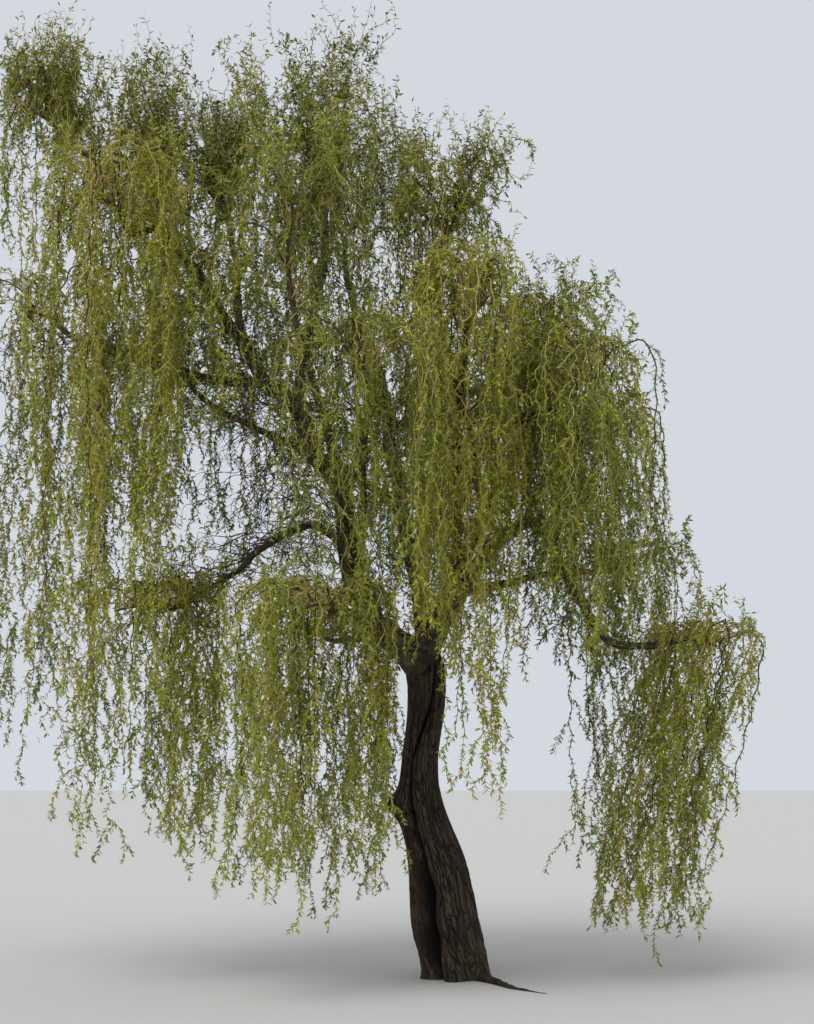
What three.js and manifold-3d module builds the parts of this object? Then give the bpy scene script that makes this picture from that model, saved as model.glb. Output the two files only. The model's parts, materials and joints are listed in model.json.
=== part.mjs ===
import * as THREE from 'three';
import { mergeVertices } from 'three/addons/utils/BufferGeometryUtils.js';
import Module from 'manifold-3d';

const wasm = await Module();
wasm.setup();

// A weeping willow with curly twigs, on a leaning, seamed trunk that forks at 2.3 m.
// Lengths are in millimetres and angles in degrees. A heading of 0 points right (+X), 90 to the back,
// 180 left and 270 to the front. A climb of 90 points straight up.

// Driving dimensions

// Clearance between solids that touch in the real tree.
const CLEARANCE = 0.3;
// A solid that cuts its neighbour is first grown by this much at its corners, to clear it at its flats.
const GROWTH = 0.4;

// A leg is one stretch of a limb: [length, heading, climb]. The trunk's legs end with its radius there.
const TRUNK = {
  footRadius: 214,
  legs: [
    [300, 180, 77, 240],
    [485, 176, 81, 204],
    [420, 180, 75, 160],
    [330, 220, 87, 126],
    [455, 0, 84, 133],
    [345, 180, 87, 150],
  ],
  sides: 20,
  rings: 18,
  domeStart: 5.45,
};

// The trunk is two stems grown together: this seam between them winds up the front.
const SEAM = {
  depth: 52,
  width: 17,
  pocketDepth: 30,
  pocketHeight: 400,
  pocketSpan: 230,
  headings: [
    [0, 238],
    [580, 248],
    [1180, 239],
    [1500, 235],
    [1900, 290],
    [2300, 320],
  ],
};
const FLUTES = { count: 7, depth: 0.035, turnsPerMetre: 0.16 };
const ROOTS = { count: 5, spread: 58, height: 240, firstHeading: 332 };
// One root shows above the ground: it runs from inside the foot towards the front and the right.
const SURFACE_ROOT = {
  start: [60, -20, 18],
  radius: [48, 12],
  legs: [[330, 300, -1], [340, 292, -1], [330, 308, 0]],
  sides: 6,
  steps: 5,
};
const BURL = { heading: 184, height: 1190, size: 84, span: 95, width: 26 };

// Each limb leaves its parent after the given number of the parent's legs. One with splits is sawn
// into pieces at those legs. The mass of foliage at its tip grows on a stem of two more legs.
const LIMBS = [
  {
    name: 'leader', parent: 'trunk', from: 5.6, radius: [104, 34],
    pieces: ['leader_lower', 'leader_middle', 'leader_upper'], splits: [4, 8],
    legs: [
      [330, 187, 39], [265, 187, 52], [400, 180, 72], [500, 148, 79],
      [305, 170, 54], [335, 176, 67], [305, 190, 43], [300, 172, 60],
      [280, 170, 52], [410, 180, 61], [335, 162, 46],
    ],
    mass: {
      name: 'crest_left_mass', stem: [[310, 144, 62], [250, 200, 48]],
      peak: 6880, hem: 4200, reach: 640,
    },
  },
  {
    name: 'left_arch', parent: 'leader', from: 3.1, radius: [34, 17],
    pieces: ['left_arch_rise', 'left_arch_fall'], splits: [3],
    legs: [
      [220, 196, 36], [135, 189, 9], [140, 180, -21],
      [255, 188, -33], [170, 204, -45], [285, 200, -34], [260, 195, -30],
    ],
    mass: {
      name: 'low_left_mass', stem: [[220, 185, 5], [220, 170, -10]],
      lift: 200, hem: 950, reach: 560,
    },
  },
  {
    name: 'right_arch', parent: 'trunk', from: 5.7, radius: [62, 22],
    pieces: ['right_arch_rise', 'right_arch_fall', 'right_arch_reach'], splits: [3, 6],
    legs: [
      [410, 336, 61], [470, 346, 58], [355, 358, 38],
      [180, 356, -27], [290, 4, -63], [385, 9, -62],
      [220, 8, -47], [230, 0, -6], [200, 0, 8],
    ],
    mass: {
      name: 'low_right_mass', stem: [[180, 350, 5], [150, 10, -20]], lift: 120, hem: 300, reach: 400,
      drift: [180, 420], arms: 7,
    },
  },
  {
    name: 'right_riser', parent: 'trunk', from: 5.75, radius: [64, 24],
    legs: [[535, 37, 66], [665, 17, 65], [615, 0, 63], [440, 350, 72]],
    mass: {
      name: 'right_shoulder_mass', stem: [[240, 20, 72], [240, 50, 45]],
      lift: 360, hem: 2700, reach: 510,
    },
  },
  {
    name: 'right_crest_limb', parent: 'right_riser', from: 2, radius: [36, 22],
    legs: [[605, 150, 78], [615, 190, 75], [515, 220, 76]],
    mass: {
      name: 'crest_right_mass', stem: [[310, 60, 74], [260, 330, 60]],
      peak: 6300, hem: 3900, reach: 500, arms: 5,
    },
  },
  {
    name: 'right_side_limb', parent: 'right_riser', from: 3, radius: [30, 20],
    legs: [[300, 27, 5], [240, 30, -6]],
    mass: {
      name: 'right_side_mass', stem: [[160, 10, 30], [160, 30, 10]],
      lift: 260, hem: 2150, reach: 410,
    },
  },
  {
    name: 'rear_stem', parent: 'trunk', from: 5.8, radius: [70, 24],
    pieces: ['rear_stem_lower', 'rear_stem_upper'], splits: [4],
    legs: [
      [555, 101, 67], [640, 122, 69], [630, 120, 72], [515, 129, 76],
      [455, 131, 62], [390, 126, 64],
    ],
    mass: {
      name: 'crest_rear_mass', stem: [[330, 110, 70], [280, 80, 50]],
      peak: 6750, hem: 3900, reach: 660, arms: 5,
    },
  },
  {
    name: 'rear_left_limb', parent: 'rear_stem', from: 2, radius: [38, 21],
    legs: [[680, 148, 33], [720, 155, 25], [600, 163, 30]],
    mass: {
      name: 'rear_left_mass', stem: [[260, 160, 50], [240, 140, 25]],
      lift: 420, hem: 3000, reach: 620,
    },
  },
  {
    name: 'rear_right_limb', parent: 'rear_stem', from: 3, radius: [34, 20],
    legs: [[480, 47, 31], [490, 30, 20], [340, 20, 8]],
    mass: {
      name: 'rear_right_mass', stem: [[240, 30, 50], [240, 50, 25]],
      lift: 400, hem: 2900, reach: 600,
    },
  },
  {
    name: 'rear_out_limb', parent: 'rear_stem', from: 1.3, radius: [36, 20],
    legs: [[635, 84, 33], [665, 72, 39], [455, 84, 38]],
    mass: {
      name: 'rear_middle_mass', stem: [[240, 90, 50], [240, 80, 25]],
      lift: 380, hem: 2500, reach: 600,
    },
  },
  {
    name: 'crest_limb', parent: 'leader', from: 6, radius: [44, 24],
    legs: [[475, 56, 81], [515, 0, 77], [460, 297, 79]],
    mass: {
      name: 'crest_middle_mass', stem: [[330, 100, 72], [280, 200, 55]],
      peak: 7000, hem: 3950, reach: 700,
    },
  },
  {
    name: 'front_crest_limb', parent: 'leader', from: 3.4, radius: [40, 22],
    legs: [[575, 261, 47], [670, 247, 52], [460, 243, 61]],
    mass: {
      name: 'crest_front_mass', stem: [[320, 250, 68], [280, 280, 50]],
      peak: 6250, hem: 3500, reach: 660,
    },
  },
  {
    name: 'far_left_limb', parent: 'leader', from: 10, radius: [30, 19],
    legs: [[470, 203, 46], [505, 190, 45], [300, 175, 40]],
    mass: {
      name: 'crest_far_left_mass', stem: [[240, 180, 45], [220, 200, 30]],
      peak: 6880, hem: 5000, reach: 480,
    },
  },
  {
    name: 'rear_crest_limb', parent: 'leader', from: 8, radius: [32, 21],
    legs: [[430, 110, 50], [420, 95, 60], [320, 115, 58]],
    mass: {
      name: 'crest_rear_left_mass', stem: [[300, 110, 65], [260, 160, 45]],
      peak: 6820, hem: 4100, reach: 620,
    },
  },
  {
    name: 'left_curl_limb', parent: 'leader', from: 8.4, radius: [30, 20],
    legs: [[520, 235, 40], [480, 232, 35], [280, 220, -8]],
    mass: {
      name: 'left_front_mass', stem: [[220, 240, 40], [240, 200, 15]],
      lift: 380, hem: 1900, reach: 540,
    },
  },
  {
    name: 'left_reach_limb', parent: 'leader', from: 7, radius: [38, 21],
    legs: [[495, 163, 7], [555, 168, 23], [480, 176, 13]],
    mass: {
      name: 'far_left_mass', stem: [[240, 180, 40], [240, 190, 15]],
      lift: 380, hem: 1650, reach: 560,
    },
  },
  {
    name: 'front_right_limb', parent: 'right_arch', from: 1, radius: [38, 22],
    legs: [[670, 277, 60], [700, 268, 62], [530, 280, 58]],
    mass: {
      name: 'front_middle_mass', stem: [[260, 280, 55], [240, 310, 35]],
      lift: 420, hem: 1400, reach: 380,
    },
  },
  {
    name: 'front_side_limb', parent: 'front_right_limb', from: 1.6, radius: [28, 19],
    legs: [[400, 350, 36], [280, 330, 20], [160, 320, 8]],
    mass: {
      name: 'right_front_mass', stem: [[180, 330, 45], [200, 350, 20]],
      lift: 360, hem: 2350, reach: 500,
    },
  },
  {
    name: 'front_limb', parent: 'leader', from: 2, radius: [36, 20],
    legs: [[565, 266, 45], [715, 272, 44], [560, 274, 36]],
    mass: {
      name: 'front_left_mass', stem: [[240, 270, 45], [240, 250, 20]],
      lift: 380, hem: 2350, reach: 560,
    },
  },
  {
    name: 'front_left_limb', parent: 'leader', from: 1, radius: [34, 19],
    legs: [[430, 243, 12], [430, 250, 6], [280, 262, -6]],
    mass: {
      name: 'low_front_mass', stem: [[220, 272, 10], [200, 220, -5]],
      lift: 200, hem: 700, reach: 620, arms: 8,
    },
  },
  {
    name: 'rear_low_left_limb', parent: 'trunk', from: 5.5, radius: [40, 19],
    legs: [[520, 112, 26], [600, 118, 6], [460, 124, 0]],
    mass: {
      name: 'low_rear_left_mass', stem: [[220, 130, 15], [220, 110, -5]],
      lift: 200, hem: 700, reach: 620,
    },
  },
  {
    name: 'rear_low_right_limb', parent: 'right_riser', from: 1, radius: [34, 19],
    legs: [[560, 40, 10], [540, 34, 12], [340, 30, 2]],
    mass: {
      name: 'low_rear_right_mass', stem: [[200, 20, 15], [200, 40, -5]],
      lift: 220, hem: 850, reach: 560,
    },
  },
];
const LIMB_SIDES = 6;
const LIMB_STEP = 400;
// A limb thins fastest near its root; a mass's stem thins to a share of its bough's tip.
const TAPER = 0.65;
const STEM_TIP_SHARE = 0.75;

// A mass has arms that arch over and hang, and on the crest sprigs that stand up. Arms are spread
// round the stem by the golden angle, and those that reach further out start to hang lower by the
// droop's share of their reach. The sprays of leaves on them are three-sided spindles.
const GOLDEN_ANGLE = 137.508;
const ARMS = {
  count: 6,
  lift: 430,
  sprigs: 2,
  sprigSpacing: 0.6,
  firstShare: 0.3,
  droop: 0.25,
  radius: [9, 5],
  fallStep: 1000,
  sway: 80,
  shortening: 0.38,
  attempts: 12,
  crestSetback: 300,
};
const SPRAYS = {
  perArm: 3,
  perSprig: 2,
  length: 560,
  width: 160,
  thickness: 70,
  sunk: 4,
  splay: 26,
  spacing: 85,
  attempts: 6,
};
// Twigs keep this far from the middle of the lane between two masses, and from the limbs.
const LANE_SHARE = 30;
const LIMB_DISTANCE = 14;
// Distance between the places on a twig that are tested, and between the marks along a limb.
const SAMPLE_STEP = 40;
const MARK_STEP = 45;
// The slivers that the joining of a mass's twigs leaves are closed up where that moves no surface further.
const SLIVER = 0.15;

const COLOURS = {
  trunk: '#4b4239',
  limb: '#5c5040',
  mass: '#8d9c3f',
};

// Numbers drawn by a fixed rule

// A number from 0 to 1 that depends only on the whole numbers given.
function chance(...keys) {
  let bits = 0x9e3779b9;
  for (const key of keys) {
    bits = Math.imul(bits ^ key ^ (bits >>> 16), 0x7feb352d);
    bits = Math.imul(bits ^ (bits >>> 15), 0x846ca68b);
    bits = (bits ^ (bits >>> 16)) >>> 0;
  }
  return bits / 2 ** 32;
}

function between(low, high, share) {
  return low + (high - low) * share;
}

// Paths

function direction(heading, climb) {
  const turn = THREE.MathUtils.degToRad(heading);
  const rise = THREE.MathUtils.degToRad(climb);
  return new THREE.Vector3(
    Math.cos(turn) * Math.cos(rise),
    Math.sin(turn) * Math.cos(rise),
    Math.sin(rise),
  );
}

function waypoints(start, legs) {
  const points = [start.clone()];
  for (const [length, heading, climb] of legs) {
    points.push(points.at(-1).clone().addScaledVector(direction(heading, climb), length));
  }
  return points;
}

function smoothPath(points) {
  return new THREE.CatmullRomCurve3(points, false, 'catmullrom', 0.5);
}

// Rings square to a path, each turned from the last by no more than the path turns.
function ringFrames(centres, tangents) {
  const side = new THREE.Vector3(0, 0, 1);
  if (Math.abs(tangents[0].z) > 0.8) {
    side.set(1, 0, 0);
  }
  side.cross(tangents[0]).normalize();
  const turn = new THREE.Quaternion();
  return centres.map((centre, i) => {
    if (i > 0) {
      turn.setFromUnitVectors(tangents[i - 1], tangents[i]);
      side.applyQuaternion(turn);
    }
    return { centre, side: side.clone(), across: tangents[i].clone().cross(side) };
  });
}

// Solids

function toManifold(geometry) {
  const bare = geometry.clone();
  bare.deleteAttribute('normal');
  bare.deleteAttribute('uv');
  const merged = mergeVertices(bare, 1e-4);
  return new wasm.Manifold(new wasm.Mesh({
    numProp: 3,
    vertProperties: new Float32Array(merged.attributes.position.array),
    triVerts: new Uint32Array(merged.index.array),
  }));
}

function toGeometry(manifold) {
  const mesh = manifold.getMesh();
  const geometry = new THREE.BufferGeometry();
  geometry.setAttribute('position', new THREE.BufferAttribute(mesh.vertProperties, 3));
  geometry.setIndex(new THREE.BufferAttribute(mesh.triVerts, 1));
  geometry.computeVertexNormals();
  return geometry;
}

// The largest body of a solid, without its loose scraps and with its sealed hollows filled.
function mainBody(manifold) {
  return manifold.decompose().reduce((best, body) => (body.volume() > best.volume() ? body : best));
}

// A cylinder bent so that each of its rings follows the rings given. Its foot is the first ring.
function bentCylinder(frames, radii, sides) {
  const tipShare = radii.at(-1) > 0 ? 1 : 0;
  const geometry = new THREE.CylinderGeometry(tipShare, 1, 1, sides, frames.length - 1);
  const position = geometry.attributes.position;
  const point = new THREE.Vector3();
  for (let i = 0; i < position.count; i += 1) {
    const ring = Math.round((position.getY(i) + 0.5) * (frames.length - 1));
    point.set(position.getX(i), 0, -position.getZ(i));
    if (point.length() > 1e-6) {
      point.normalize().multiplyScalar(radii[ring]);
    }
    const { centre, side, across } = frames[ring];
    const placed = centre.clone().addScaledVector(side, point.x).addScaledVector(across, point.z);
    position.setXYZ(i, placed.x, placed.y, placed.z);
  }
  return geometry;
}

// The trunk

const trunkPath = smoothPath(waypoints(new THREE.Vector3(0, 0, 0), TRUNK.legs));
const trunkGirth = smoothPath(
  [TRUNK.footRadius, ...TRUNK.legs.map((leg) => leg[3])].map((radius) => new THREE.Vector3(radius, 0, 0)),
);

function turnBetween(first, second) {
  return ((first - second + 540) % 360) - 180;
}

function bump(distance, span) {
  return Math.exp(-((distance / span) ** 2));
}

function seamHeading(height) {
  const next = SEAM.headings.findIndex(([level]) => level >= height);
  const [topLevel, topHeading] = SEAM.headings.at(next);
  if (next <= 0) {
    return topHeading;
  }
  const [lowLevel, lowHeading] = SEAM.headings[next - 1];
  return between(lowHeading, topHeading, (height - lowLevel) / (topLevel - lowLevel));
}

function trunkRadius(girth, heading, height) {
  const rad = THREE.MathUtils.degToRad;
  const pocket = SEAM.pocketDepth * bump(height - SEAM.pocketHeight, SEAM.pocketSpan);
  const seamDepth = SEAM.depth * Math.min(1, girth / TRUNK.footRadius) + pocket;
  const seam = seamDepth * bump(turnBetween(heading, seamHeading(height)), SEAM.width);
  const spiral = (FLUTES.turnsPerMetre * 360 * height) / 1000;
  const flutes = girth * FLUTES.depth * Math.cos(rad(FLUTES.count * (heading - spiral)));
  const rootWave = 0.5 + 0.5 * Math.cos(rad(ROOTS.count * (heading - ROOTS.firstHeading)));
  const roots = ROOTS.spread * rootWave * Math.max(0, 1 - height / ROOTS.height) ** 2;
  const burl = BURL.size
    * bump(height - BURL.height, BURL.span)
    * bump(turnBetween(heading, BURL.heading), BURL.width);
  return girth - seam + flutes + roots + burl;
}

// The fork is closed by a low dome from which the limbs leave.
function domeShare(leg) {
  const over = Math.max(0, (leg - TRUNK.domeStart) / (TRUNK.legs.length - TRUNK.domeStart));
  return Math.sqrt(1 - 0.8 * over ** 2);
}

function surfaceRoot() {
  const path = smoothPath(waypoints(new THREE.Vector3(...SURFACE_ROOT.start), SURFACE_ROOT.legs));
  const shares = Array.from({ length: SURFACE_ROOT.steps + 1 }, (_, i) => i / SURFACE_ROOT.steps);
  const centres = shares.map((share) => path.getPoint(share));
  const tangents = shares.map((share) => path.getTangent(share));
  const radii = shares.map((share) => between(...SURFACE_ROOT.radius, share));
  const root = toManifold(bentCylinder(ringFrames(centres, tangents), radii, SURFACE_ROOT.sides));
  const ground = new THREE.BoxGeometry(4000, 4000, 400);
  ground.translate(0, 0, -200);
  return root.subtract(toManifold(ground));
}

function stemSolid(growth) {
  const geometry = new THREE.CylinderGeometry(1, 1, 1, TRUNK.sides, TRUNK.rings);
  const position = geometry.attributes.position;
  for (let i = 0; i < position.count; i += 1) {
    const share = position.getY(i) + 0.5;
    const centre = trunkPath.getPoint(share);
    const x = position.getX(i);
    const y = -position.getZ(i);
    const onRim = Math.hypot(x, y) > 0.5;
    const heading = (THREE.MathUtils.radToDeg(Math.atan2(y, x)) + 360) % 360;
    const girth = trunkGirth.getPoint(share).x * domeShare(share * TRUNK.legs.length);
    const radius = onRim ? trunkRadius(girth, heading, centre.z) + growth : 0;
    const top = share > 0.999 ? growth : 0;
    position.setXYZ(i, centre.x + x * radius, centre.y + y * radius, centre.z + top);
  }
  return toManifold(geometry);
}

function trunkSolid() {
  return mainBody(stemSolid(0).add(surfaceRoot()));
}

// Limbs

function pointOn(limb, leg) {
  return limb.path.getPoint(leg / limb.legCount);
}

// Each limb by its name, with its path from the point where it leaves its parent.
const limbs = new Map([['trunk', { path: trunkPath, legCount: TRUNK.legs.length }]]);
for (const limb of LIMBS) {
  const legs = [...limb.legs, ...limb.mass.stem];
  const start = pointOn(limbs.get(limb.parent), limb.from);
  limbs.set(limb.name, { ...limb, legCount: legs.length, path: smoothPath(waypoints(start, legs)) });
}
limbs.delete('trunk');

function limbRadius(limb, leg) {
  const [root, tip] = limb.radius;
  const boughLegs = limb.legs.length;
  if (leg <= boughLegs) {
    return between(root, tip, (leg / boughLegs) ** TAPER);
  }
  return tip * between(1, STEM_TIP_SHARE, (leg - boughLegs) / limb.mass.stem.length);
}

function stretchLength(limb, firstLeg, lastLeg) {
  return limb.path.getLength() * (lastLeg - firstLeg) / limb.legCount;
}

// The solid of a limb between two of its legs. A stretch after the first starts one clearance on.
function limbSolid(limb, firstLeg, lastLeg, growth) {
  const steps = Math.max(2, Math.round(stretchLength(limb, firstLeg, lastLeg) / LIMB_STEP));
  const legs = Array.from({ length: steps + 1 }, (_, i) => between(firstLeg, lastLeg, i / steps));
  const centres = legs.map((leg) => pointOn(limb, leg));
  const tangents = legs.map((leg) => limb.path.getTangent(leg / limb.legCount));
  const radii = legs.map((leg) => limbRadius(limb, leg) + growth);
  centres[0].addScaledVector(tangents[0], firstLeg > 0 ? CLEARANCE - growth : 0);
  centres[steps].addScaledVector(tangents[steps], growth);
  return toManifold(bentCylinder(ringFrames(centres, tangents), radii, LIMB_SIDES));
}

function limbPieces(limb) {
  const names = limb.pieces ?? [limb.name];
  const cuts = [0, ...(limb.splits ?? []), limb.legs.length];
  return names.map((name, i) => ({ name, limb, firstLeg: cuts[i], lastLeg: cuts[i + 1] }));
}

const PIECES = [...limbs.values()].flatMap(limbPieces);

function boxesMeet(first, second) {
  const a = first.boundingBox();
  const b = second.boundingBox();
  return a.min.every((low, axis) => low <= b.max[axis] && b.min[axis] <= a.max[axis]);
}

// Each limb is cut clear of the trunk and of every limb that was made before it.
function cutLimbs() {
  const grownBefore = [stemSolid(GROWTH)];
  const solids = new Map();
  for (const { name, limb, firstLeg, lastLeg } of PIECES) {
    let solid = limbSolid(limb, firstLeg, lastLeg, 0);
    for (const grown of grownBefore) {
      if (boxesMeet(solid, grown)) {
        solid = solid.subtract(grown);
      }
    }
    solids.set(name, mainBody(solid));
    grownBefore.push(limbSolid(limb, firstLeg, lastLeg, GROWTH));
  }
  return solids;
}

// Places along the trunk and every limb, with the radius there, that twigs keep away from.
function limbMarks() {
  const marks = [];
  for (const { limb, firstLeg, lastLeg } of PIECES) {
    const steps = Math.ceil(stretchLength(limb, firstLeg, lastLeg) / MARK_STEP);
    for (let i = 0; i <= steps; i += 1) {
      const leg = between(firstLeg, lastLeg, i / steps);
      marks.push({ place: pointOn(limb, leg), radius: limbRadius(limb, leg) });
    }
  }
  const trunkSteps = Math.ceil(trunkPath.getLength() / MARK_STEP);
  for (let i = 0; i <= trunkSteps; i += 1) {
    const share = i / trunkSteps;
    marks.push({ place: trunkPath.getPoint(share), radius: trunkGirth.getPoint(share).x + BURL.size });
  }
  return marks;
}

const MARKS = limbMarks();

// The space of each mass: the points nearer to its own hanging axis than to any other's.

function massAxis(limb) {
  const middle = pointOn(limb, limb.legCount - 1);
  const tip = pointOn(limb, limb.legCount);
  const [heading, distance] = limb.mass.drift ?? [0, 0];
  const foot = middle.clone().addScaledVector(direction(heading, 0), distance);
  foot.z = limb.mass.hem;
  const head = middle.clone();
  head.z = Math.max(tip.z, limb.mass.peak ?? 0);
  return new THREE.Line3(head, foot);
}

const AXES = [...limbs.values()].map(massAxis);

function axisDistance(axis, place) {
  return axis.closestPointToPoint(place, true, new THREE.Vector3()).distanceTo(place);
}

function inOwnSpace(index, place) {
  const own = axisDistance(AXES[index], place);
  return AXES.every((axis, other) => other === index || axisDistance(axis, place) > own + 2 * LANE_SHARE);
}

function clearOfLimbs(place, room) {
  return MARKS.every((mark) => mark.place.distanceTo(place) > mark.radius + room);
}

function fits(index, place, room) {
  return place.z > 0 && inOwnSpace(index, place) && clearOfLimbs(place, room + LIMB_DISTANCE);
}

// Twigs and leaves

// An arm arches out from its stem over the given reach, and then hangs to its hem.
function armPoints(limb, index, arm, attempt) {
  const { mass } = limb;
  const count = mass.arms ?? ARMS.count;
  const draw = (use) => chance(index, arm, attempt, use);
  const stemShare = between(ARMS.firstShare, 1, (arm + 0.5) / count);
  const start = pointOn(limb, limb.legs.length + mass.stem.length * stemShare);
  const heading = arm * GOLDEN_ANGLE + 360 * chance(index) + between(-30, 30, draw(1));
  const reach = mass.reach * Math.sqrt((arm + 0.4 + 0.4 * draw(2)) / count);
  const topRoom = mass.peak ? mass.peak - ARMS.crestSetback - start.z : mass.lift * 1.2;
  const lift = Math.min(topRoom, (mass.lift ?? ARMS.lift) * between(0.7, 1.2, draw(3)));
  const out = direction(heading, 0);
  const at = (share, rise) => start.clone().addScaledVector(out, reach * share)
    .add(new THREE.Vector3(0, 0, rise - ARMS.droop * reach * share));
  const points = [start, at(0.5, lift * 0.95), at(1, lift * 0.6)];
  const top = points.at(-1);
  const bottom = between(mass.hem, top.z, ARMS.shortening * draw(4) ** 1.5);
  const steps = Math.max(1, Math.round((top.z - bottom) / ARMS.fallStep));
  const [driftHeading, driftDistance] = mass.drift ?? [0, 0];
  for (let step = 1; step <= steps; step += 1) {
    const share = step / steps;
    const sway = direction(360 * draw(10 + step), 0).multiplyScalar(ARMS.sway);
    const hung = top.clone().add(sway).addScaledVector(direction(driftHeading, 0), driftDistance * share);
    hung.z = between(top.z, bottom, share);
    points.push(hung);
  }
  return points;
}

// A sprig stands up from the crest with a loose curl.
function sprigPoints(limb, index, sprig, attempt) {
  const draw = (use) => chance(index, 100 + sprig, attempt, use);
  const start = pointOn(limb, limb.legCount - ARMS.sprigSpacing * sprig);
  const heading = 180 * sprig + 360 * chance(index, 7) + between(-40, 40, draw(1));
  const height = (limb.mass.peak - ARMS.crestSetback - start.z) * between(0.86, 1, sprig === 0 ? 1 : draw(2));
  const curl = direction(heading + 90, 0).multiplyScalar(ARMS.sway);
  const at = (share, side, rise) => start.clone()
    .addScaledVector(direction(heading, 0), limb.mass.reach * share)
    .addScaledVector(curl, side)
    .add(new THREE.Vector3(0, 0, height * rise));
  return [start, at(0.2, 1, 0.4), at(0.25, -1, 0.75), at(0.4, 0, 1)];
}

function placesAlong(from, to) {
  const count = Math.ceil(to.distanceTo(from) / SAMPLE_STEP);
  return Array.from({ length: count }, (_, i) => from.clone().lerp(to, (i + 1) / count));
}

// The first part of a twig that keeps to its space, or nothing where that is too short.
function keptPart(index, points) {
  const kept = [points[0]];
  for (let i = 1; i < points.length; i += 1) {
    if (!placesAlong(points[i - 1], points[i]).every((place) => fits(index, place, ARMS.radius[0]))) {
      return kept.length > 2 ? kept : null;
    }
    kept.push(points[i]);
  }
  return kept;
}

function twigSolid(points) {
  const tangents = points.map((point, i) => {
    const before = points[Math.max(0, i - 1)];
    const after = points[Math.min(points.length - 1, i + 1)];
    return after.clone().sub(before).normalize();
  });
  const radii = points.map((point, i) => between(ARMS.radius[0], ARMS.radius[1], i / (points.length - 1)));
  radii[radii.length - 1] = 0;
  return toManifold(bentCylinder(ringFrames(points, tangents), radii, 3));
}

// A spray is a flattened three-sided spindle whose first tip is sunk in its twig.
function spraySolid(root, along, roll) {
  const geometry = new THREE.SphereGeometry(1, 3, 2);
  geometry.rotateX(Math.PI / 2);
  geometry.scale(SPRAYS.width / 2, SPRAYS.thickness / 2, SPRAYS.length / 2);
  geometry.translate(0, 0, SPRAYS.length / 2 - SPRAYS.sunk);
  geometry.rotateZ(THREE.MathUtils.degToRad(roll));
  geometry.applyQuaternion(new THREE.Quaternion().setFromUnitVectors(new THREE.Vector3(0, 0, 1), along));
  geometry.translate(root.x, root.y, root.z);
  return toManifold(geometry);
}

// A spray lies close to the way that its twig hangs. One that would leave the mass's space, or come
// near another twig or spray of the mass, is tried at other places and then skipped.
function sprayOn(index, twig, spray, taken) {
  const { arm, path } = twig;
  for (let attempt = 0; attempt < SPRAYS.attempts; attempt += 1) {
    const draw = (use) => chance(index, arm, 50 + spray, attempt, use);
    const share = between(0.28, 0.93, (spray + draw(1)) / twig.sprays);
    const root = path.getPointAt(share);
    const splay = Math.sin(THREE.MathUtils.degToRad(SPRAYS.splay));
    const along = path.getTangentAt(share).multiplyScalar(0.6)
      .add(new THREE.Vector3(0, 0, twig.hangs ? -0.7 : 0.3))
      .addScaledVector(direction(360 * draw(2), 0), splay)
      .normalize();
    const reached = [0.4, 0.7, 1].map((part) => root.clone().addScaledVector(along, SPRAYS.length * part));
    const free = reached.every((place) => fits(index, place, SPRAYS.width / 3)
      && taken.every((other) => other.distanceTo(place) > SPRAYS.spacing));
    if (free) {
      taken.push(...reached);
      return spraySolid(root, along, 360 * draw(3));
    }
  }
  return null;
}

function firstFitting(index, points) {
  for (let attempt = 0; attempt < ARMS.attempts; attempt += 1) {
    const kept = keptPart(index, points(attempt));
    if (kept) {
      return kept;
    }
  }
  return null;
}

function twigPath(points) {
  const path = new THREE.CurvePath();
  for (let i = 1; i < points.length; i += 1) {
    path.add(new THREE.LineCurve3(points[i - 1], points[i]));
  }
  return path;
}

function massTwigs(limb, index) {
  const twigs = [];
  for (let arm = 0; arm < (limb.mass.arms ?? ARMS.count); arm += 1) {
    const points = firstFitting(index, (attempt) => armPoints(limb, index, arm, attempt));
    twigs.push({ arm, points, hangs: true, sprays: SPRAYS.perArm });
  }
  for (let sprig = 0; sprig < (limb.mass.peak ? ARMS.sprigs : 0); sprig += 1) {
    const points = firstFitting(index, (attempt) => sprigPoints(limb, index, sprig, attempt));
    twigs.push({ arm: 100 + sprig, points, hangs: false, sprays: SPRAYS.perSprig });
  }
  return twigs.filter((twig) => twig.points).map((twig) => ({ ...twig, path: twigPath(twig.points) }));
}

function massSolid(limb, index) {
  const twigs = massTwigs(limb, index);
  const parts = [limbSolid(limb, limb.legs.length, limb.legCount, 0)];
  parts.push(...twigs.map((twig) => twigSolid(twig.points)));
  const taken = [];
  for (const twig of twigs) {
    for (let spray = 0; spray < twig.sprays; spray += 1) {
      parts.push(sprayOn(index, twig, spray, taken));
    }
  }
  const joined = parts.filter(Boolean).reduce((whole, part) => whole.add(part));
  return mainBody(joined.simplify(SLIVER));
}

// The tree

function addNode(group, name, manifold, colour, roughness) {
  const material = new THREE.MeshStandardMaterial({ color: colour, roughness, metalness: 0 });
  const mesh = new THREE.Mesh(toGeometry(manifold), material);
  mesh.name = name;
  group.add(mesh);
}

const tree = new THREE.Group();
addNode(tree, 'trunk', trunkSolid(), COLOURS.trunk, 0.95);
for (const [name, solid] of cutLimbs()) {
  addNode(tree, name, solid, COLOURS.limb, 0.9);
}
[...limbs.values()].forEach((limb, index) => {
  addNode(tree, limb.mass.name, massSolid(limb, index), COLOURS.mass, 0.8);
});

export default tree;
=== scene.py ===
"""A weeping willow with curly twigs in early spring: its bark, boughs, twigs and leaves, in metres.

A heading of 0 points right (+X), 90 to the back, 180 left and 270 to the front. A climb of 90 points up.
"""

import json
import logging
import math
from dataclasses import dataclass, field, replace
from enum import Enum, IntEnum

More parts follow.
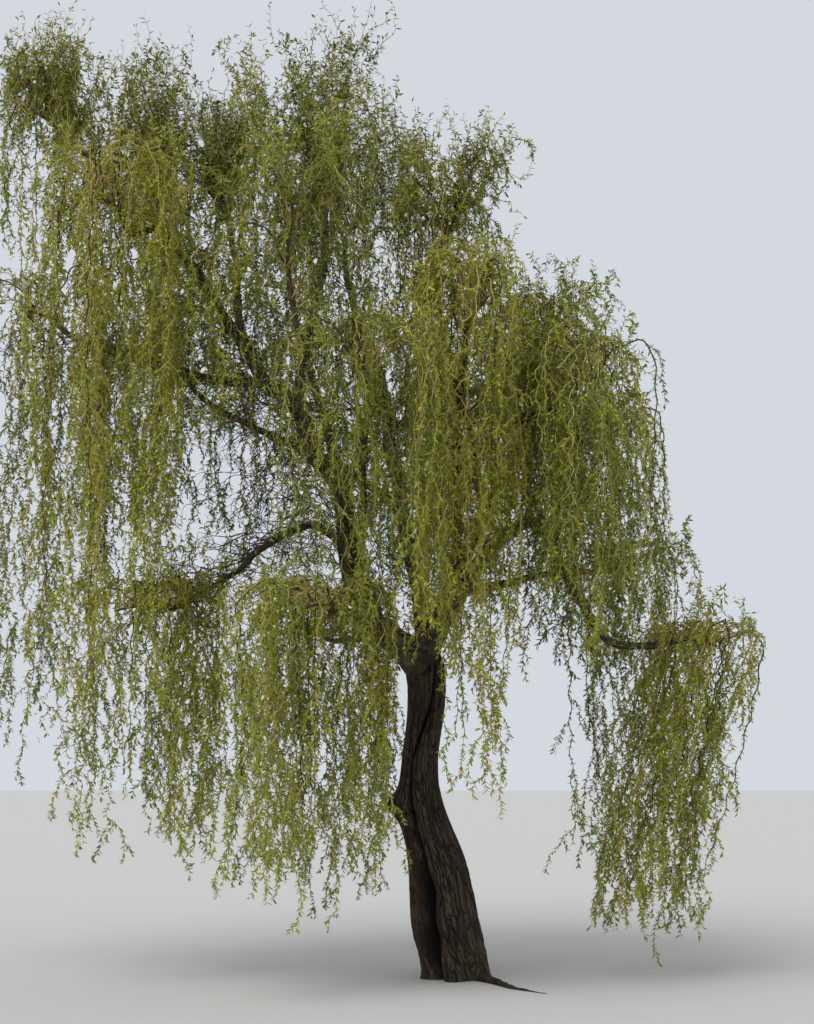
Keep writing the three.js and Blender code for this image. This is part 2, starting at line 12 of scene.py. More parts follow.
import bpy
import numpy as np
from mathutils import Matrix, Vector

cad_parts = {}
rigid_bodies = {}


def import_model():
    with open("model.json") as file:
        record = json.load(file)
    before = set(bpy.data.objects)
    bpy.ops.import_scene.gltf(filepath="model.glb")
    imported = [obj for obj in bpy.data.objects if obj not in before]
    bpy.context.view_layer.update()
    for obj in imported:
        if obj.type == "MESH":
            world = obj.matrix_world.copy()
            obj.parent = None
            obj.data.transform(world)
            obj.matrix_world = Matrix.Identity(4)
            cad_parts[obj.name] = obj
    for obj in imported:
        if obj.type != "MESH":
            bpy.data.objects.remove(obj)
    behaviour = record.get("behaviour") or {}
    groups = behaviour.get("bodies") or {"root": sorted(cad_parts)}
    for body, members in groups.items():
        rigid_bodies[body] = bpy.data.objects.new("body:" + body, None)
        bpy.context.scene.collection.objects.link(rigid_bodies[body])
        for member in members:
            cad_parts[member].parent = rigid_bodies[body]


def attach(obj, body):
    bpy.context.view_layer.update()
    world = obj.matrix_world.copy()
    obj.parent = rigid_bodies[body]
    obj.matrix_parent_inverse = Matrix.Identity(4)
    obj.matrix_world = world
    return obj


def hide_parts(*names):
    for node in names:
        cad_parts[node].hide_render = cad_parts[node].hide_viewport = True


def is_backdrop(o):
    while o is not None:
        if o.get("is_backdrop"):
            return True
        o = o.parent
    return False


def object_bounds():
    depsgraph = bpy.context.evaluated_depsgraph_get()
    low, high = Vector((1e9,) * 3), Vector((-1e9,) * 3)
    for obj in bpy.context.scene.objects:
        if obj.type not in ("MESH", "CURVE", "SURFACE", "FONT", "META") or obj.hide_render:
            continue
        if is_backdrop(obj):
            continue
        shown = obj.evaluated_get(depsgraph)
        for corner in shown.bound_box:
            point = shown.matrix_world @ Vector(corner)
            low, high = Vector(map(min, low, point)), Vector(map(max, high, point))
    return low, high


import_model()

LOG = logging.getLogger("willow")

Array = np.ndarray
Pair = tuple[float, float]
Triple = tuple[float, float, float]
Leg = Triple  # The length, heading and climb of one stretch of a path.
Colour = tuple[float, float, float, float]

FULL_TURN = 360.0
GOLDEN_ANGLE = 137.508
WORD = np.uint64(0xFFFFFFFF)
HASH_START = np.uint64(0x9E3779B9)
HASH_FACTORS = (np.uint64(0x7FEB352D), np.uint64(0x846CA68B))
HASH_SHIFTS = (np.uint64(16), np.uint64(15))
LATTICE_SHIFT = 4096
ROW_SHIFT = 64
CELL_INSET = (0.1, 0.9)
FAR_CELL = 9.0
BOX_MARGIN = 0.02
LEAST_LENGTH = 1e-9
FULL_CHANNEL = 255
DARK_SHARE = 0.04
DARK_DIVISOR = 12.92
CURVE_SHIFT = 0.055
CURVE_POWER = 2.4


class Seed(IntEnum):
    """The names of the noises that shape bark and curtain."""

    BARK_WARP = 3
    BARK_RIPPLE = 4
    BARK_ROUGHNESS = 7
    BARK_RIDGES = 11
    BARK_STRIPS = 17
    ROOT_KNOTS = 23
    BOUGH_SWAY = 61
    BOUGH_SWING = 62
    BOUGH_RIDGES = 65
    BOUGH_ROUGHNESS = 67
    BOUGH_KNOTS = 69
    CURTAIN_EDGE = 77


class Draw(IntEnum):
    """The names of the numbers drawn for each twig and leaf."""

    SPRIG_HEADING = 7
    SPRIG_SPREAD = 8
    CURL_WIDTH = 31
    CURL_PITCH = 32
    CURL_START = 33
    CURL_FLATNESS = 34
    CURL_SIDE = 35
    SPOT_COUNT = 41
    SPOT_PLACE = 42
    SIDE_HEADING = 49
    SIDE_TWIG = 50
    LEAF_KEPT = 80
    LEAF = 81
    SPRAY_TINT = 91


class Tone(Enum):
    """The middle of the leaf tints that a mass is dealt, counted from the palest."""

    GOLDEN = 0.9
    LEMON = 1.7
    FRESH = 2.7
    OLIVE = 3.7


class LeafTint(Enum):
    """Tints of the young leaves, from the palest to the darkest."""

    STRAW = "#a49e38"
    LEMON = "#a0a531"
    SPRING = "#939a2c"
    MEADOW = "#7d8825"
    OLIVE = "#677322"
    MOSS = "#515d1c"
    SHADE = "#3b4617"


class TwigTint(Enum):
    """Tints of the twigs by their age."""

    YOUNG = "#b8a962"
    GOLDEN = "#bda968"
    OLD = "#453a29"


@dataclass(frozen=True)
class Mass:
    """A mass of foliage: a stem of two legs, and the space round its hanging axis.

    A mass with a peak stands on the crest. Its hem is the height to which its longest twigs hang.
    """

    name: str
    stem: tuple[Leg, Leg]
    hem: float
    reach: float
    tone: Tone
    peak: float = 0.0
    lift: float = 0.43
    arms: int = 6
    drift: Pair = (0.0, 0.0)


@dataclass(frozen=True)
class Limb:
    """A limb that leaves its parent after some of the parent's legs and ends in a mass of foliage."""

    name: str
    parent: str
    origin: float
    radius: Pair
    legs: tuple[Leg, ...]
    mass: Mass
    nodes: tuple[str, ...] = ()


# Each limb with its parent, the legs of the parent before it, its radii, its own legs and its mass.
LIMBS = (
    Limb(
        "leader", "trunk", 5.6, (0.104, 0.034),
        (
            (0.33, 187, 39), (0.265, 187, 52), (0.4, 180, 72), (0.5, 148, 79), (0.305, 170, 54),
            (0.335, 176, 67), (0.305, 190, 43), (0.3, 172, 60), (0.28, 170, 52), (0.41, 180, 61),
            (0.335, 162, 46),
        ),
        Mass(
            "crest_left_mass", ((0.31, 144, 62), (0.25, 200, 48)), peak=6.88, hem=4.2, reach=0.64,
            tone=Tone.FRESH,
        ),
        nodes=("leader_lower", "leader_middle", "leader_upper"),
    ),
    Limb(
        "left_arch", "leader", 3.1, (0.034, 0.017),
        (
            (0.22, 196, 36), (0.135, 189, 9), (0.14, 180, -21), (0.255, 188, -33), (0.17, 204, -45),
            (0.285, 200, -34), (0.26, 195, -30),
        ),
        Mass(
            "low_left_mass", ((0.22, 185, 5), (0.22, 170, -10)), lift=0.2, hem=0.95, reach=0.56,
            tone=Tone.LEMON,
        ),
        nodes=("left_arch_rise", "left_arch_fall"),
    ),
    Limb(
        "right_arch", "trunk", 5.7, (0.062, 0.022),
        (
            (0.41, 336, 61), (0.47, 346, 58), (0.355, 358, 38), (0.18, 356, -27), (0.29, 4, -63),
            (0.385, 9, -62), (0.22, 8, -47), (0.23, 0, -6), (0.2, 0, 8),
        ),
        Mass(
            "low_right_mass", ((0.18, 350, 5), (0.15, 10, -20)), lift=0.12, hem=0.3, reach=0.4, arms=7,
            drift=(180, 0.42), tone=Tone.LEMON,
        ),
        nodes=("right_arch_rise", "right_arch_fall", "right_arch_reach"),
    ),
    Limb(
        "right_riser", "trunk", 5.75, (0.064, 0.024),
        ((0.535, 37, 66), (0.665, 17, 65), (0.615, 0, 63), (0.44, 350, 72)),
        Mass(
            "right_shoulder_mass", ((0.24, 20, 72), (0.24, 50, 45)), lift=0.36, hem=2.7, reach=0.51,
            tone=Tone.FRESH,
        ),
    ),
    Limb(
        "right_crest_limb", "right_riser", 2, (0.036, 0.022),
        ((0.605, 150, 78), (0.615, 190, 75), (0.515, 220, 76)),
        Mass(
            "crest_right_mass", ((0.31, 60, 74), (0.26, 330, 60)), peak=6.3, hem=3.9, reach=0.5,
            arms=5, tone=Tone.FRESH,
        ),
    ),
    Limb(
        "right_side_limb", "right_riser", 3, (0.03, 0.02),
        ((0.3, 27, 5), (0.24, 30, -6)),
        Mass(
            "right_side_mass", ((0.16, 10, 30), (0.16, 30, 10)), lift=0.26, hem=2.15, reach=0.41,
            tone=Tone.FRESH,
        ),
    ),
    Limb(
        "rear_stem", "trunk", 5.8, (0.07, 0.024),
        (
            (0.555, 101, 67), (0.64, 122, 69), (0.63, 120, 72), (0.515, 129, 76), (0.455, 131, 62),
            (0.39, 126, 64),
        ),
        Mass(
            "crest_rear_mass", ((0.33, 110, 70), (0.28, 80, 50)), peak=6.75, hem=3.9, reach=0.66,
            arms=5, tone=Tone.OLIVE,
        ),
        nodes=("rear_stem_lower", "rear_stem_upper"),
    ),
    Limb(
        "rear_left_limb", "rear_stem", 2, (0.038, 0.021),
        ((0.68, 148, 33), (0.72, 155, 25), (0.6, 163, 30)),
        Mass(
            "rear_left_mass", ((0.26, 160, 50), (0.24, 140, 25)), lift=0.42, hem=3, reach=0.62,
            tone=Tone.OLIVE,
        ),
    ),
    Limb(
        "rear_right_limb", "rear_stem", 3, (0.034, 0.02),
        ((0.48, 47, 31), (0.49, 30, 20), (0.34, 20, 8)),
        Mass(
            "rear_right_mass", ((0.24, 30, 50), (0.24, 50, 25)), lift=0.4, hem=2.9, reach=0.6,
            tone=Tone.OLIVE,
        ),
    ),
    Limb(
        "rear_out_limb", "rear_stem", 1.3, (0.036, 0.02),
        ((0.635, 84, 33), (0.665, 72, 39), (0.455, 84, 38)),
        Mass(
            "rear_middle_mass", ((0.24, 90, 50), (0.24, 80, 25)), lift=0.38, hem=2.5, reach=0.6,
            tone=Tone.OLIVE,
        ),
    ),
    Limb(
        "crest_limb", "leader", 6, (0.044, 0.024),
        ((0.475, 56, 81), (0.515, 0, 77), (0.46, 297, 79)),
        Mass(
            "crest_middle_mass", ((0.33, 100, 72), (0.28, 200, 55)), peak=7, hem=3.95, reach=0.7,
            tone=Tone.OLIVE,
        ),
    ),
    Limb(
        "front_crest_limb", "leader", 3.4, (0.04, 0.022),
        ((0.575, 261, 47), (0.67, 247, 52), (0.46, 243, 61)),
        Mass(
            "crest_front_mass", ((0.32, 250, 68), (0.28, 280, 50)), peak=6.25, hem=3.5, reach=0.66,
            tone=Tone.FRESH,
        ),
    ),
    Limb(
        "far_left_limb", "leader", 10, (0.03, 0.019),
        ((0.47, 203, 46), (0.505, 190, 45), (0.3, 175, 40)),
        Mass(
            "crest_far_left_mass", ((0.24, 180, 45), (0.22, 200, 30)), peak=6.88, hem=5, reach=0.48,
            tone=Tone.FRESH,
        ),
    ),
    Limb(
        "rear_crest_limb", "leader", 8, (0.032, 0.021),
        ((0.43, 110, 50), (0.42, 95, 60), (0.32, 115, 58)),
        Mass(
            "crest_rear_left_mass", ((0.3, 110, 65), (0.26, 160, 45)), peak=6.82, hem=4.1, reach=0.62,
            tone=Tone.OLIVE,
        ),
    ),
    Limb(
        "left_curl_limb", "leader", 8.4, (0.03, 0.02),
        ((0.52, 235, 40), (0.48, 232, 35), (0.28, 220, -8)),
        Mass(
            "left_front_mass", ((0.22, 240, 40), (0.24, 200, 15)), lift=0.38, hem=1.9, reach=0.54,
            tone=Tone.GOLDEN,
        ),
    ),
    Limb(
        "left_reach_limb", "leader", 7, (0.038, 0.021),
        ((0.495, 163, 7), (0.555, 168, 23), (0.48, 176, 13)),
        Mass(
            "far_left_mass", ((0.24, 180, 40), (0.24, 190, 15)), lift=0.38, hem=1.65, reach=0.56,
            tone=Tone.FRESH,
        ),
    ),
    Limb(
        "front_right_limb", "right_arch", 1, (0.038, 0.022),
        ((0.67, 277, 60), (0.7, 268, 62), (0.53, 280, 58)),
        Mass(
            "front_middle_mass", ((0.26, 280, 55), (0.24, 310, 35)), lift=0.42, hem=1.4, reach=0.38,
            tone=Tone.GOLDEN,
        ),
    ),
    Limb(
        "front_side_limb", "front_right_limb", 1.6, (0.028, 0.019),
        ((0.4, 350, 36), (0.28, 330, 20), (0.16, 320, 8)),
        Mass(
            "right_front_mass", ((0.18, 330, 45), (0.2, 350, 20)), lift=0.36, hem=2.35, reach=0.5,
            tone=Tone.FRESH,
        ),
    ),
    Limb(
        "front_limb", "leader", 2, (0.036, 0.02),
        ((0.565, 266, 45), (0.715, 272, 44), (0.56, 274, 36)),
        Mass(
            "front_left_mass", ((0.24, 270, 45), (0.24, 250, 20)), lift=0.38, hem=2.35, reach=0.56,
            tone=Tone.FRESH,
        ),
    ),
    Limb(
        "front_left_limb", "leader", 1, (0.034, 0.019),
        ((0.43, 243, 12), (0.43, 250, 6), (0.28, 262, -6)),
        Mass(
            "low_front_mass", ((0.22, 272, 10), (0.2, 220, -5)), lift=0.2, hem=0.7, reach=0.62, arms=8,
            tone=Tone.LEMON,
        ),
    ),
    Limb(
        "rear_low_left_limb", "trunk", 5.5, (0.04, 0.019),
        ((0.52, 112, 26), (0.6, 118, 6), (0.46, 124, 0)),
        Mass(
            "low_rear_left_mass", ((0.22, 130, 15), (0.22, 110, -5)), lift=0.2, hem=0.7, reach=0.62,
            tone=Tone.FRESH,
        ),
    ),
    Limb(
        "rear_low_right_limb", "right_riser", 1, (0.034, 0.019),
        ((0.56, 40, 10), (0.54, 34, 12), (0.34, 30, 2)),
        Mass(
            "low_rear_right_mass", ((0.2, 20, 15), (0.2, 40, -5)), lift=0.22, hem=0.85, reach=0.56,
            tone=Tone.FRESH,
        ),
    ),
)


def chance(*keys: int | Array) -> Array:
    """Draw numbers from 0 to 1 that depend only on whole numbers.

    Args:
        keys: Whole numbers, or arrays of them, that name the draw.

    Returns:
        One number for each place of the keys' common shape.
    """
    half, less = HASH_SHIFTS
    first, second = HASH_FACTORS
    bits = HASH_START + np.zeros(np.broadcast_shapes(*(np.shape(key) for key in keys)), np.uint64)
    for key in keys:
        bits = (bits ^ np.asarray(key, np.uint64) ^ (bits >> half)) * first & WORD
        bits = (bits ^ (bits >> less)) * second & WORD
        bits = bits ^ (bits >> half)
    return bits / (float(WORD) + 1)


def between(low: float | Array, high: float | Array, share: float | Array) -> float | Array:
    """Return the value at a share of the way from low to high."""
    return low + (high - low) * share


def smooth_step(low: float, high: float, value: Array) -> Array:
    """Return 0 below low, 1 above high, and a smooth rise between them."""
    share = np.clip((value - low) / (high - low), 0.0, 1.0)
    return share * share * (3 - 2 * share)


def bump(distance: Array, span: float) -> Array:
    """Return a hill of height 1 that falls away over the span."""
    return np.exp(-((distance / span) ** 2))


def direction(heading: float | Array, climb: float | Array = 0.0) -> Array:
    """Return unit vectors for headings and climbs in degrees."""
    turn, rise = np.broadcast_arrays(np.radians(heading), np.radians(climb))
    return np.stack([np.cos(turn) * np.cos(rise), np.sin(turn) * np.cos(rise), np.sin(rise)], -1)


def signed_turn(turn: float | Array) -> float | Array:
    """Return turns in degrees as values from -180 to 180."""
    return (turn + 1.5 * FULL_TURN) % FULL_TURN - FULL_TURN / 2


def unit(vectors: Array) -> Array:
    """Scale vectors to the length 1."""
    return vectors / np.maximum(np.linalg.norm(vectors, axis=-1, keepdims=True), LEAST_LENGTH)


def linear(code: str) -> Colour:
    """Turn a colour code such as #a0b040 into the linear colour of a shader, by the usual curve of screens.

    Args:
        code: The colour code.

    Returns:
        The shares of red, green and blue, and 1 for a full cover.
    """
    colour = []
    for first in (1, 3, 5):
        share = int(code[first : first + 2], 16) / FULL_CHANNEL
        curve = ((share + CURVE_SHIFT) / (1 + CURVE_SHIFT)) ** CURVE_POWER
        colour.append(curve if share > DARK_SHARE else share / DARK_DIVISOR)
    return (*colour, 1.0)


def lattice_noise(places: Array, seed: int) -> Array:
    """Draw smooth noise from 0 to 1 with hills about one unit wide.

    Args:
        places: Places in the noise's own units, three numbers each.
        seed: A whole number that names the noise.

    Returns:
        One number for each place.
    """
    cell = np.floor(places)
    share = places - cell
    share = share * share * (3 - 2 * share)
    corner = (cell + LATTICE_SHIFT).astype(np.int64)
    total = np.zeros(len(places))
    for x in (0, 1):
        for y in (0, 1):
            for z in (0, 1):
                weight = np.prod(np.where((x, y, z), share, 1 - share), axis=-1)
                total += weight * chance(seed, corner[:, 0] + x, corner[:, 1] + y, corner[:, 2] + z)
    return total


def cell_borders(across: Array, along: Array, columns: int, seed: int) -> Array:
    """Measure how far places are from the borders of irregular cells that close round a stem.

    Args:
        across: Places round the stem, one unit for each column of cells.
        along: Places along the stem, one unit for each row of cells.
        columns: How many cells there are round the stem.
        seed: A whole number that names the pattern.

    Returns:
        The distance to the second nearest cell's middle less that to the nearest.
    """
    column = np.floor(across).astype(np.int64)
    row = np.floor(along).astype(np.int64)
    nearest = np.full(across.shape, FAR_CELL)
    second = np.full(across.shape, FAR_CELL)
    for i in (-1, 0, 1):
        for j in (-1, 0, 1):
            keys = (seed, (column + i) % columns, row + j + ROW_SHIFT)
            middle_x = column + i + between(*CELL_INSET, chance(*keys, 1))
            middle_y = row + j + chance(*keys, 2)
            distance = np.hypot(across - middle_x, along - middle_y)
            second = np.minimum(second, np.maximum(nearest, distance))
            nearest = np.minimum(nearest, distance)
    return second - nearest


def grid_triangles(rows: int, columns: int) -> Array:
    """Join the rings of a tube by triangles.

    Args:
        rows: How many rings there are.
        columns: How many vertices each ring has.

    Returns:
        Three vertex numbers for each triangle.
    """
    row, column = np.meshgrid(np.arange(rows - 1), np.arange(columns), indexing="ij")
    low = (row * columns + column).ravel()
    low_next = (row * columns + (column + 1) % columns).ravel()
    first = np.stack([low, low_next, low_next + columns], -1)
    return np.vstack([first, np.stack([low, low_next + columns, low + columns], -1)])


def closed_tube(rows: int, columns: int, hub: int) -> Array:
    """Join the rings of a tube by triangles and close both ends.

    Args:
        rows: How many rings there are.
        columns: How many vertices each ring has.
        hub: The number of the vertex in the middle of the first ring, just before that of the last.

    Returns:
        Three vertex numbers for each triangle.
    """
    first = np.arange(columns)
    last = first + (rows - 1) * columns
    foot = np.stack([np.full(columns, hub), np.roll(first, -1), first], -1)
    top = np.stack([np.full(columns, hub + 1), last, np.roll(last, -1)], -1)
    return np.vstack([grid_triangles(rows, columns), foot, top])


def mesh_piece(name: str, vertices: Array, triangles: Array) -> bpy.types.Object:
    """Make a smooth-shaded mesh object from arrays.

    Args:
        name: The piece's name.
        vertices: Three coordinates for each vertex.
        triangles: Three vertex numbers for each face.

    Returns:
        The object, linked to the scene and riding on the plant's one body.
    """
    mesh = bpy.data.meshes.new(name)
    mesh.vertices.add(len(vertices))
    mesh.vertices.foreach_set("co", np.ascontiguousarray(vertices, np.float32).ravel())
    mesh.loops.add(triangles.size)
    mesh.loops.foreach_set("vertex_index", np.ascontiguousarray(triangles, np.int32).ravel())
    mesh.polygons.add(len(triangles))
    mesh.polygons.foreach_set("loop_start", np.arange(0, triangles.size, 3, dtype=np.int32))
    mesh.update(calc_edges=True)
    mesh.shade_smooth()
    piece = bpy.data.objects.new(name, mesh)
    bpy.context.scene.collection.objects.link(piece)
    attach(piece, "root")
    LOG.info("%s: %d triangles", name, len(triangles))
    return piece


def add_attribute(piece: bpy.types.Object, name: str, values: Array) -> None:
    """Store one number for each vertex of a piece."""
    attribute = piece.data.attributes.new(name, "FLOAT", "POINT")
    attribute.data.foreach_set("value", np.ascontiguousarray(values, np.float32))


@dataclass(frozen=True)
class PlainFinish:
    """The finish of leaves and twigs, whose colours are dealt out by spray."""

    name: str
    colour: str
    roughness: float
    specular: float

    def material(self) -> bpy.types.Material:
        """Make the material, with every value on the shader's own socket.

        Returns:
            The material.
        """
        material = bpy.data.materials.new(self.name)
        material.use_nodes = True
        shader = material.node_tree.nodes["Principled BSDF"]
        shader.inputs["Base Color"].default_value = linear(self.colour)
        shader.inputs["Roughness"].default_value = self.roughness
        shader.inputs["Specular IOR Level"].default_value = self.specular
        return material


@dataclass(frozen=True)
class BarkFinish:
    """Ridged bark: dark in the furrows, where its ramp paints shade, and weathered and pale on the ridges.

    Its vertex values are the height of the relief, which the ramp turns into painted shade in the furrows,
    and the warmth of worn red-brown places.
    """

    name: str
    ramp: tuple[tuple[float, str], ...]
    warm: str
    algae: str
    grain_scale: float
    patch_scale: float
    bump_height: float
    grain_detail: float = 5.0
    patch_detail: float = 3.0
    stretch: float = 0.35
    algae_edge: Pair = (0.52, 0.7)
    algae_cover: float = 0.6
    grain_edge: Pair = (0.3, 0.7)
    least_roughness: float = 0.76
    roughness_rise: float = 0.18
    specular: float = 0.3
    bump_strength: float = 0.8
    break_edge: Pair = (0.25, 0.75)
    break_height: float = 0.5

    def material(self) -> bpy.types.Material:
        """Make the material from the relief, patches of algae and a fine grain.

        Returns:
            The material.
        """
        material = bpy.data.materials.new(self.name)
        material.use_nodes = True
        tree = material.node_tree
        shader = tree.nodes["Principled BSDF"]
        place = tree.nodes.new("ShaderNodeTexCoord").outputs["Object"]
        grain = self.noise(tree, place, self.grain_scale, self.grain_detail)
        patches = self.noise(tree, place, self.patch_scale, self.patch_detail)
        colour = self.relief_colour_with_painted_shade(tree, grain)
        cover = self.spread(tree, patches, *self.algae_edge, self.algae_cover)
        colour = self.mixed(tree, cover, colour, self.algae)
        warmth = tree.nodes.new("ShaderNodeAttribute")
        warmth.attribute_name = "warmth"
        colour = self.mixed(tree, warmth.outputs["Fac"], colour, self.warm)
        tree.links.new(colour, shader.inputs["Base Color"])
        roughness = self.spread(tree, grain, *self.grain_edge, self.roughness_rise, self.least_roughness)
        tree.links.new(roughness, shader.inputs["Roughness"])
        shader.inputs["Specular IOR Level"].default_value = self.specular
        relief = tree.nodes.new("ShaderNodeBump")
        relief.inputs["Strength"].default_value = self.bump_strength
        relief.inputs["Distance"].default_value = self.bump_height
        tree.links.new(grain, relief.inputs["Height"])
        tree.links.new(relief.outputs["Normal"], shader.inputs["Normal"])
        return material

    def noise(
        self, tree: bpy.types.NodeTree, place: bpy.types.NodeSocket, scale: float, detail: float
    ) -> bpy.types.NodeSocket:
        """Add a noise that is drawn out along the stem.

        Args:
            tree: The material's nodes.
            place: The socket that gives the place.
            scale: Hills in each metre across the stem.
            detail: Layers of finer noise.

        Returns:
            The socket of the noise.
        """
        stretch = tree.nodes.new("ShaderNodeMapping")
        stretch.inputs["Scale"].default_value = (1.0, 1.0, self.stretch)
        noise = tree.nodes.new("ShaderNodeTexNoise")
        noise.inputs["Scale"].default_value = scale
        noise.inputs["Detail"].default_value = detail
        tree.links.new(place, stretch.inputs["Vector"])
        tree.links.new(stretch.outputs["Vector"], noise.inputs["Vector"])
        return noise.outputs["Fac"]

    def spread(
        self,
        tree: bpy.types.NodeTree,
        value: bpy.types.NodeSocket,
        low: float,
        high: float,
        height: float,
        base: float = 0.0,
    ) -> bpy.types.NodeSocket:
        """Spread a value's middle range over a new range.

        Args:
            tree: The material's nodes.
            value: The socket of the value.
            low: Where the rise starts.
            high: Where the rise ends.
            height: How much it rises.
            base: What it rises from.

        Returns:
            The socket of the new value.
        """
        spread = tree.nodes.new("ShaderNodeMapRange")
        ends = {"From Min": low, "From Max": high, "To Min": base, "To Max": base + height}
        for name, number in ends.items():
            spread.inputs[name].default_value = number
        tree.links.new(value, spread.inputs["Value"])
        return spread.outputs["Result"]

    def mixed(
        self, tree: bpy.types.NodeTree, share: bpy.types.NodeSocket, under: bpy.types.NodeSocket, code: str
    ) -> bpy.types.NodeSocket:
        """Lay a colour over another by a share.

        Args:
            tree: The material's nodes.
            share: The socket of the share.
            under: The socket of the colour under it.
            code: The colour that is laid over.

        Returns:
            The socket of the mixed colour.
        """
        mix = tree.nodes.new("ShaderNodeMix")
        mix.data_type = "RGBA"
        mix.inputs["B"].default_value = linear(code)
        tree.links.new(share, mix.inputs["Factor"])
        tree.links.new(under, mix.inputs["A"])
        return mix.outputs["Result"]

    def relief_colour_with_painted_shade(self, tree: bpy.types.NodeTree, grain: bpy.types.NodeSocket) -> bpy.types.NodeSocket:
        """Colour the relief from its furrows to its ridges, broken up by the grain; the ramp's dark low end
        is painted shade in the furrows.

        Args:
            tree: The material's nodes.
            grain: The socket of the fine noise.

        Returns:
            The socket of the colour.
        """
        relief = tree.nodes.new("ShaderNodeAttribute")
        relief.attribute_name = "relief"
        shift = self.spread(tree, grain, *self.break_edge, self.break_height, -self.break_height / 2)
        total = tree.nodes.new("ShaderNodeMath")
        tree.links.new(relief.outputs["Fac"], total.inputs[0])
        tree.links.new(shift, total.inputs[1])
        ramp = tree.nodes.new("ShaderNodeValToRGB")
        stops = ramp.color_ramp.elements
        while len(stops) < len(self.ramp):
            stops.new(0.5)
        for stop, (position, code) in zip(stops, self.ramp):
            stop.position = position
            stop.color = linear(code)
        tree.links.new(total.outputs["Value"], ramp.inputs["Fac"])
        return ramp.outputs["Color"]


# Each ramp runs from furrow to ridge; its dark low stops are painted shade in the furrows.
TRUNK_BARK = BarkFinish(
    name="trunk_bark",
    ramp=((0.0, "#0d0a08"), (0.3, "#211a13"), (0.6, "#30271e"), (0.85, "#40352a"), (1.0, "#504436")),
    warm="#3f2a1d",
    algae="#363425",
    grain_scale=60.0,
    patch_scale=4.0,
    bump_height=0.006,
)
BOUGH_BARK = BarkFinish(
    name="bough_bark",
    ramp=((0.0, "#0f0c09"), (0.3, "#272019"), (0.6, "#41372b"), (0.85, "#5c503f"), (1.0, "#75684f")),
    warm="#5c4f2e",
    algae="#403f2a",
    grain_scale=90.0,
    patch_scale=5.0,
    bump_height=0.003,
)


@dataclass(frozen=True)
class Path:
    """A smooth line through waypoints, with one leg between each two."""

    points: Array
    tangent_gap: float = 1e-3
    length_places: int = 201
    places_per_leg: int = 12

    @staticmethod
    def walked(start: Array, legs: tuple[Leg, ...]) -> "Path":
        """Make the path that walks the legs from a start.

        Args:
            start: The first waypoint.
            legs: Length, heading and climb of each leg.

        Returns:
            The path.
        """
        steps = [length * direction(heading, climb) for length, heading, climb in legs]
        return Path(np.cumsum([start, *steps], axis=0))

    @property
    def leg_count(self) -> int:
        """The number of legs."""
        return len(self.points) - 1

    def at(self, legs: float | Array) -> Array:
        """Find places along the path.

        Args:
            legs: How many legs lie before each place.

        Returns:
            The places.
        """
        points = self.points
        ends = np.vstack([2 * points[0] - points[1], points, 2 * points[-1] - points[-2]])
        legs = np.clip(legs, 0.0, self.leg_count)
        leg = np.minimum(np.floor(legs).astype(int), self.leg_count - 1)
        share = np.asarray(legs - leg)[..., None]
        before, start, end, after = (ends[leg + i] for i in range(4))
        leave = (end - before) / 2
        arrive = (after - start) / 2
        cubic = 2 * start - 2 * end + leave + arrive
        square = -3 * start + 3 * end - 2 * leave - arrive
        return ((cubic * share + square) * share + leave) * share + start

    def tangents(self, legs: float | Array) -> Array:
        """Find the direction of the path at places along it.

        Args:
            legs: How many legs lie before each place.

        Returns:
            The unit directions.
        """
        low = np.clip(legs, 0.0, self.leg_count - self.tangent_gap)
        return unit(self.at(low + self.tangent_gap) - self.at(low))

    def length(self) -> float:
        """Return the length of the path."""
        places = self.at(np.linspace(0, self.leg_count, self.length_places))
        return float(np.linalg.norm(np.diff(places, axis=0), axis=1).sum())

    def spaced(self, step: float) -> Array:
        """Find places along the path that lie one step apart.

        Args:
            step: The distance between two places.

        Returns:
            The places.
        """
        fine = self.at(np.linspace(0, self.leg_count, self.leg_count * self.places_per_leg + 1))
        arcs = np.concatenate([[0.0], np.cumsum(np.linalg.norm(np.diff(fine, axis=0), axis=1))])
        wanted = np.arange(0.0, arcs[-1], step)
        return np.stack([np.interp(wanted, arcs, fine[:, axis]) for axis in range(3)], -1)


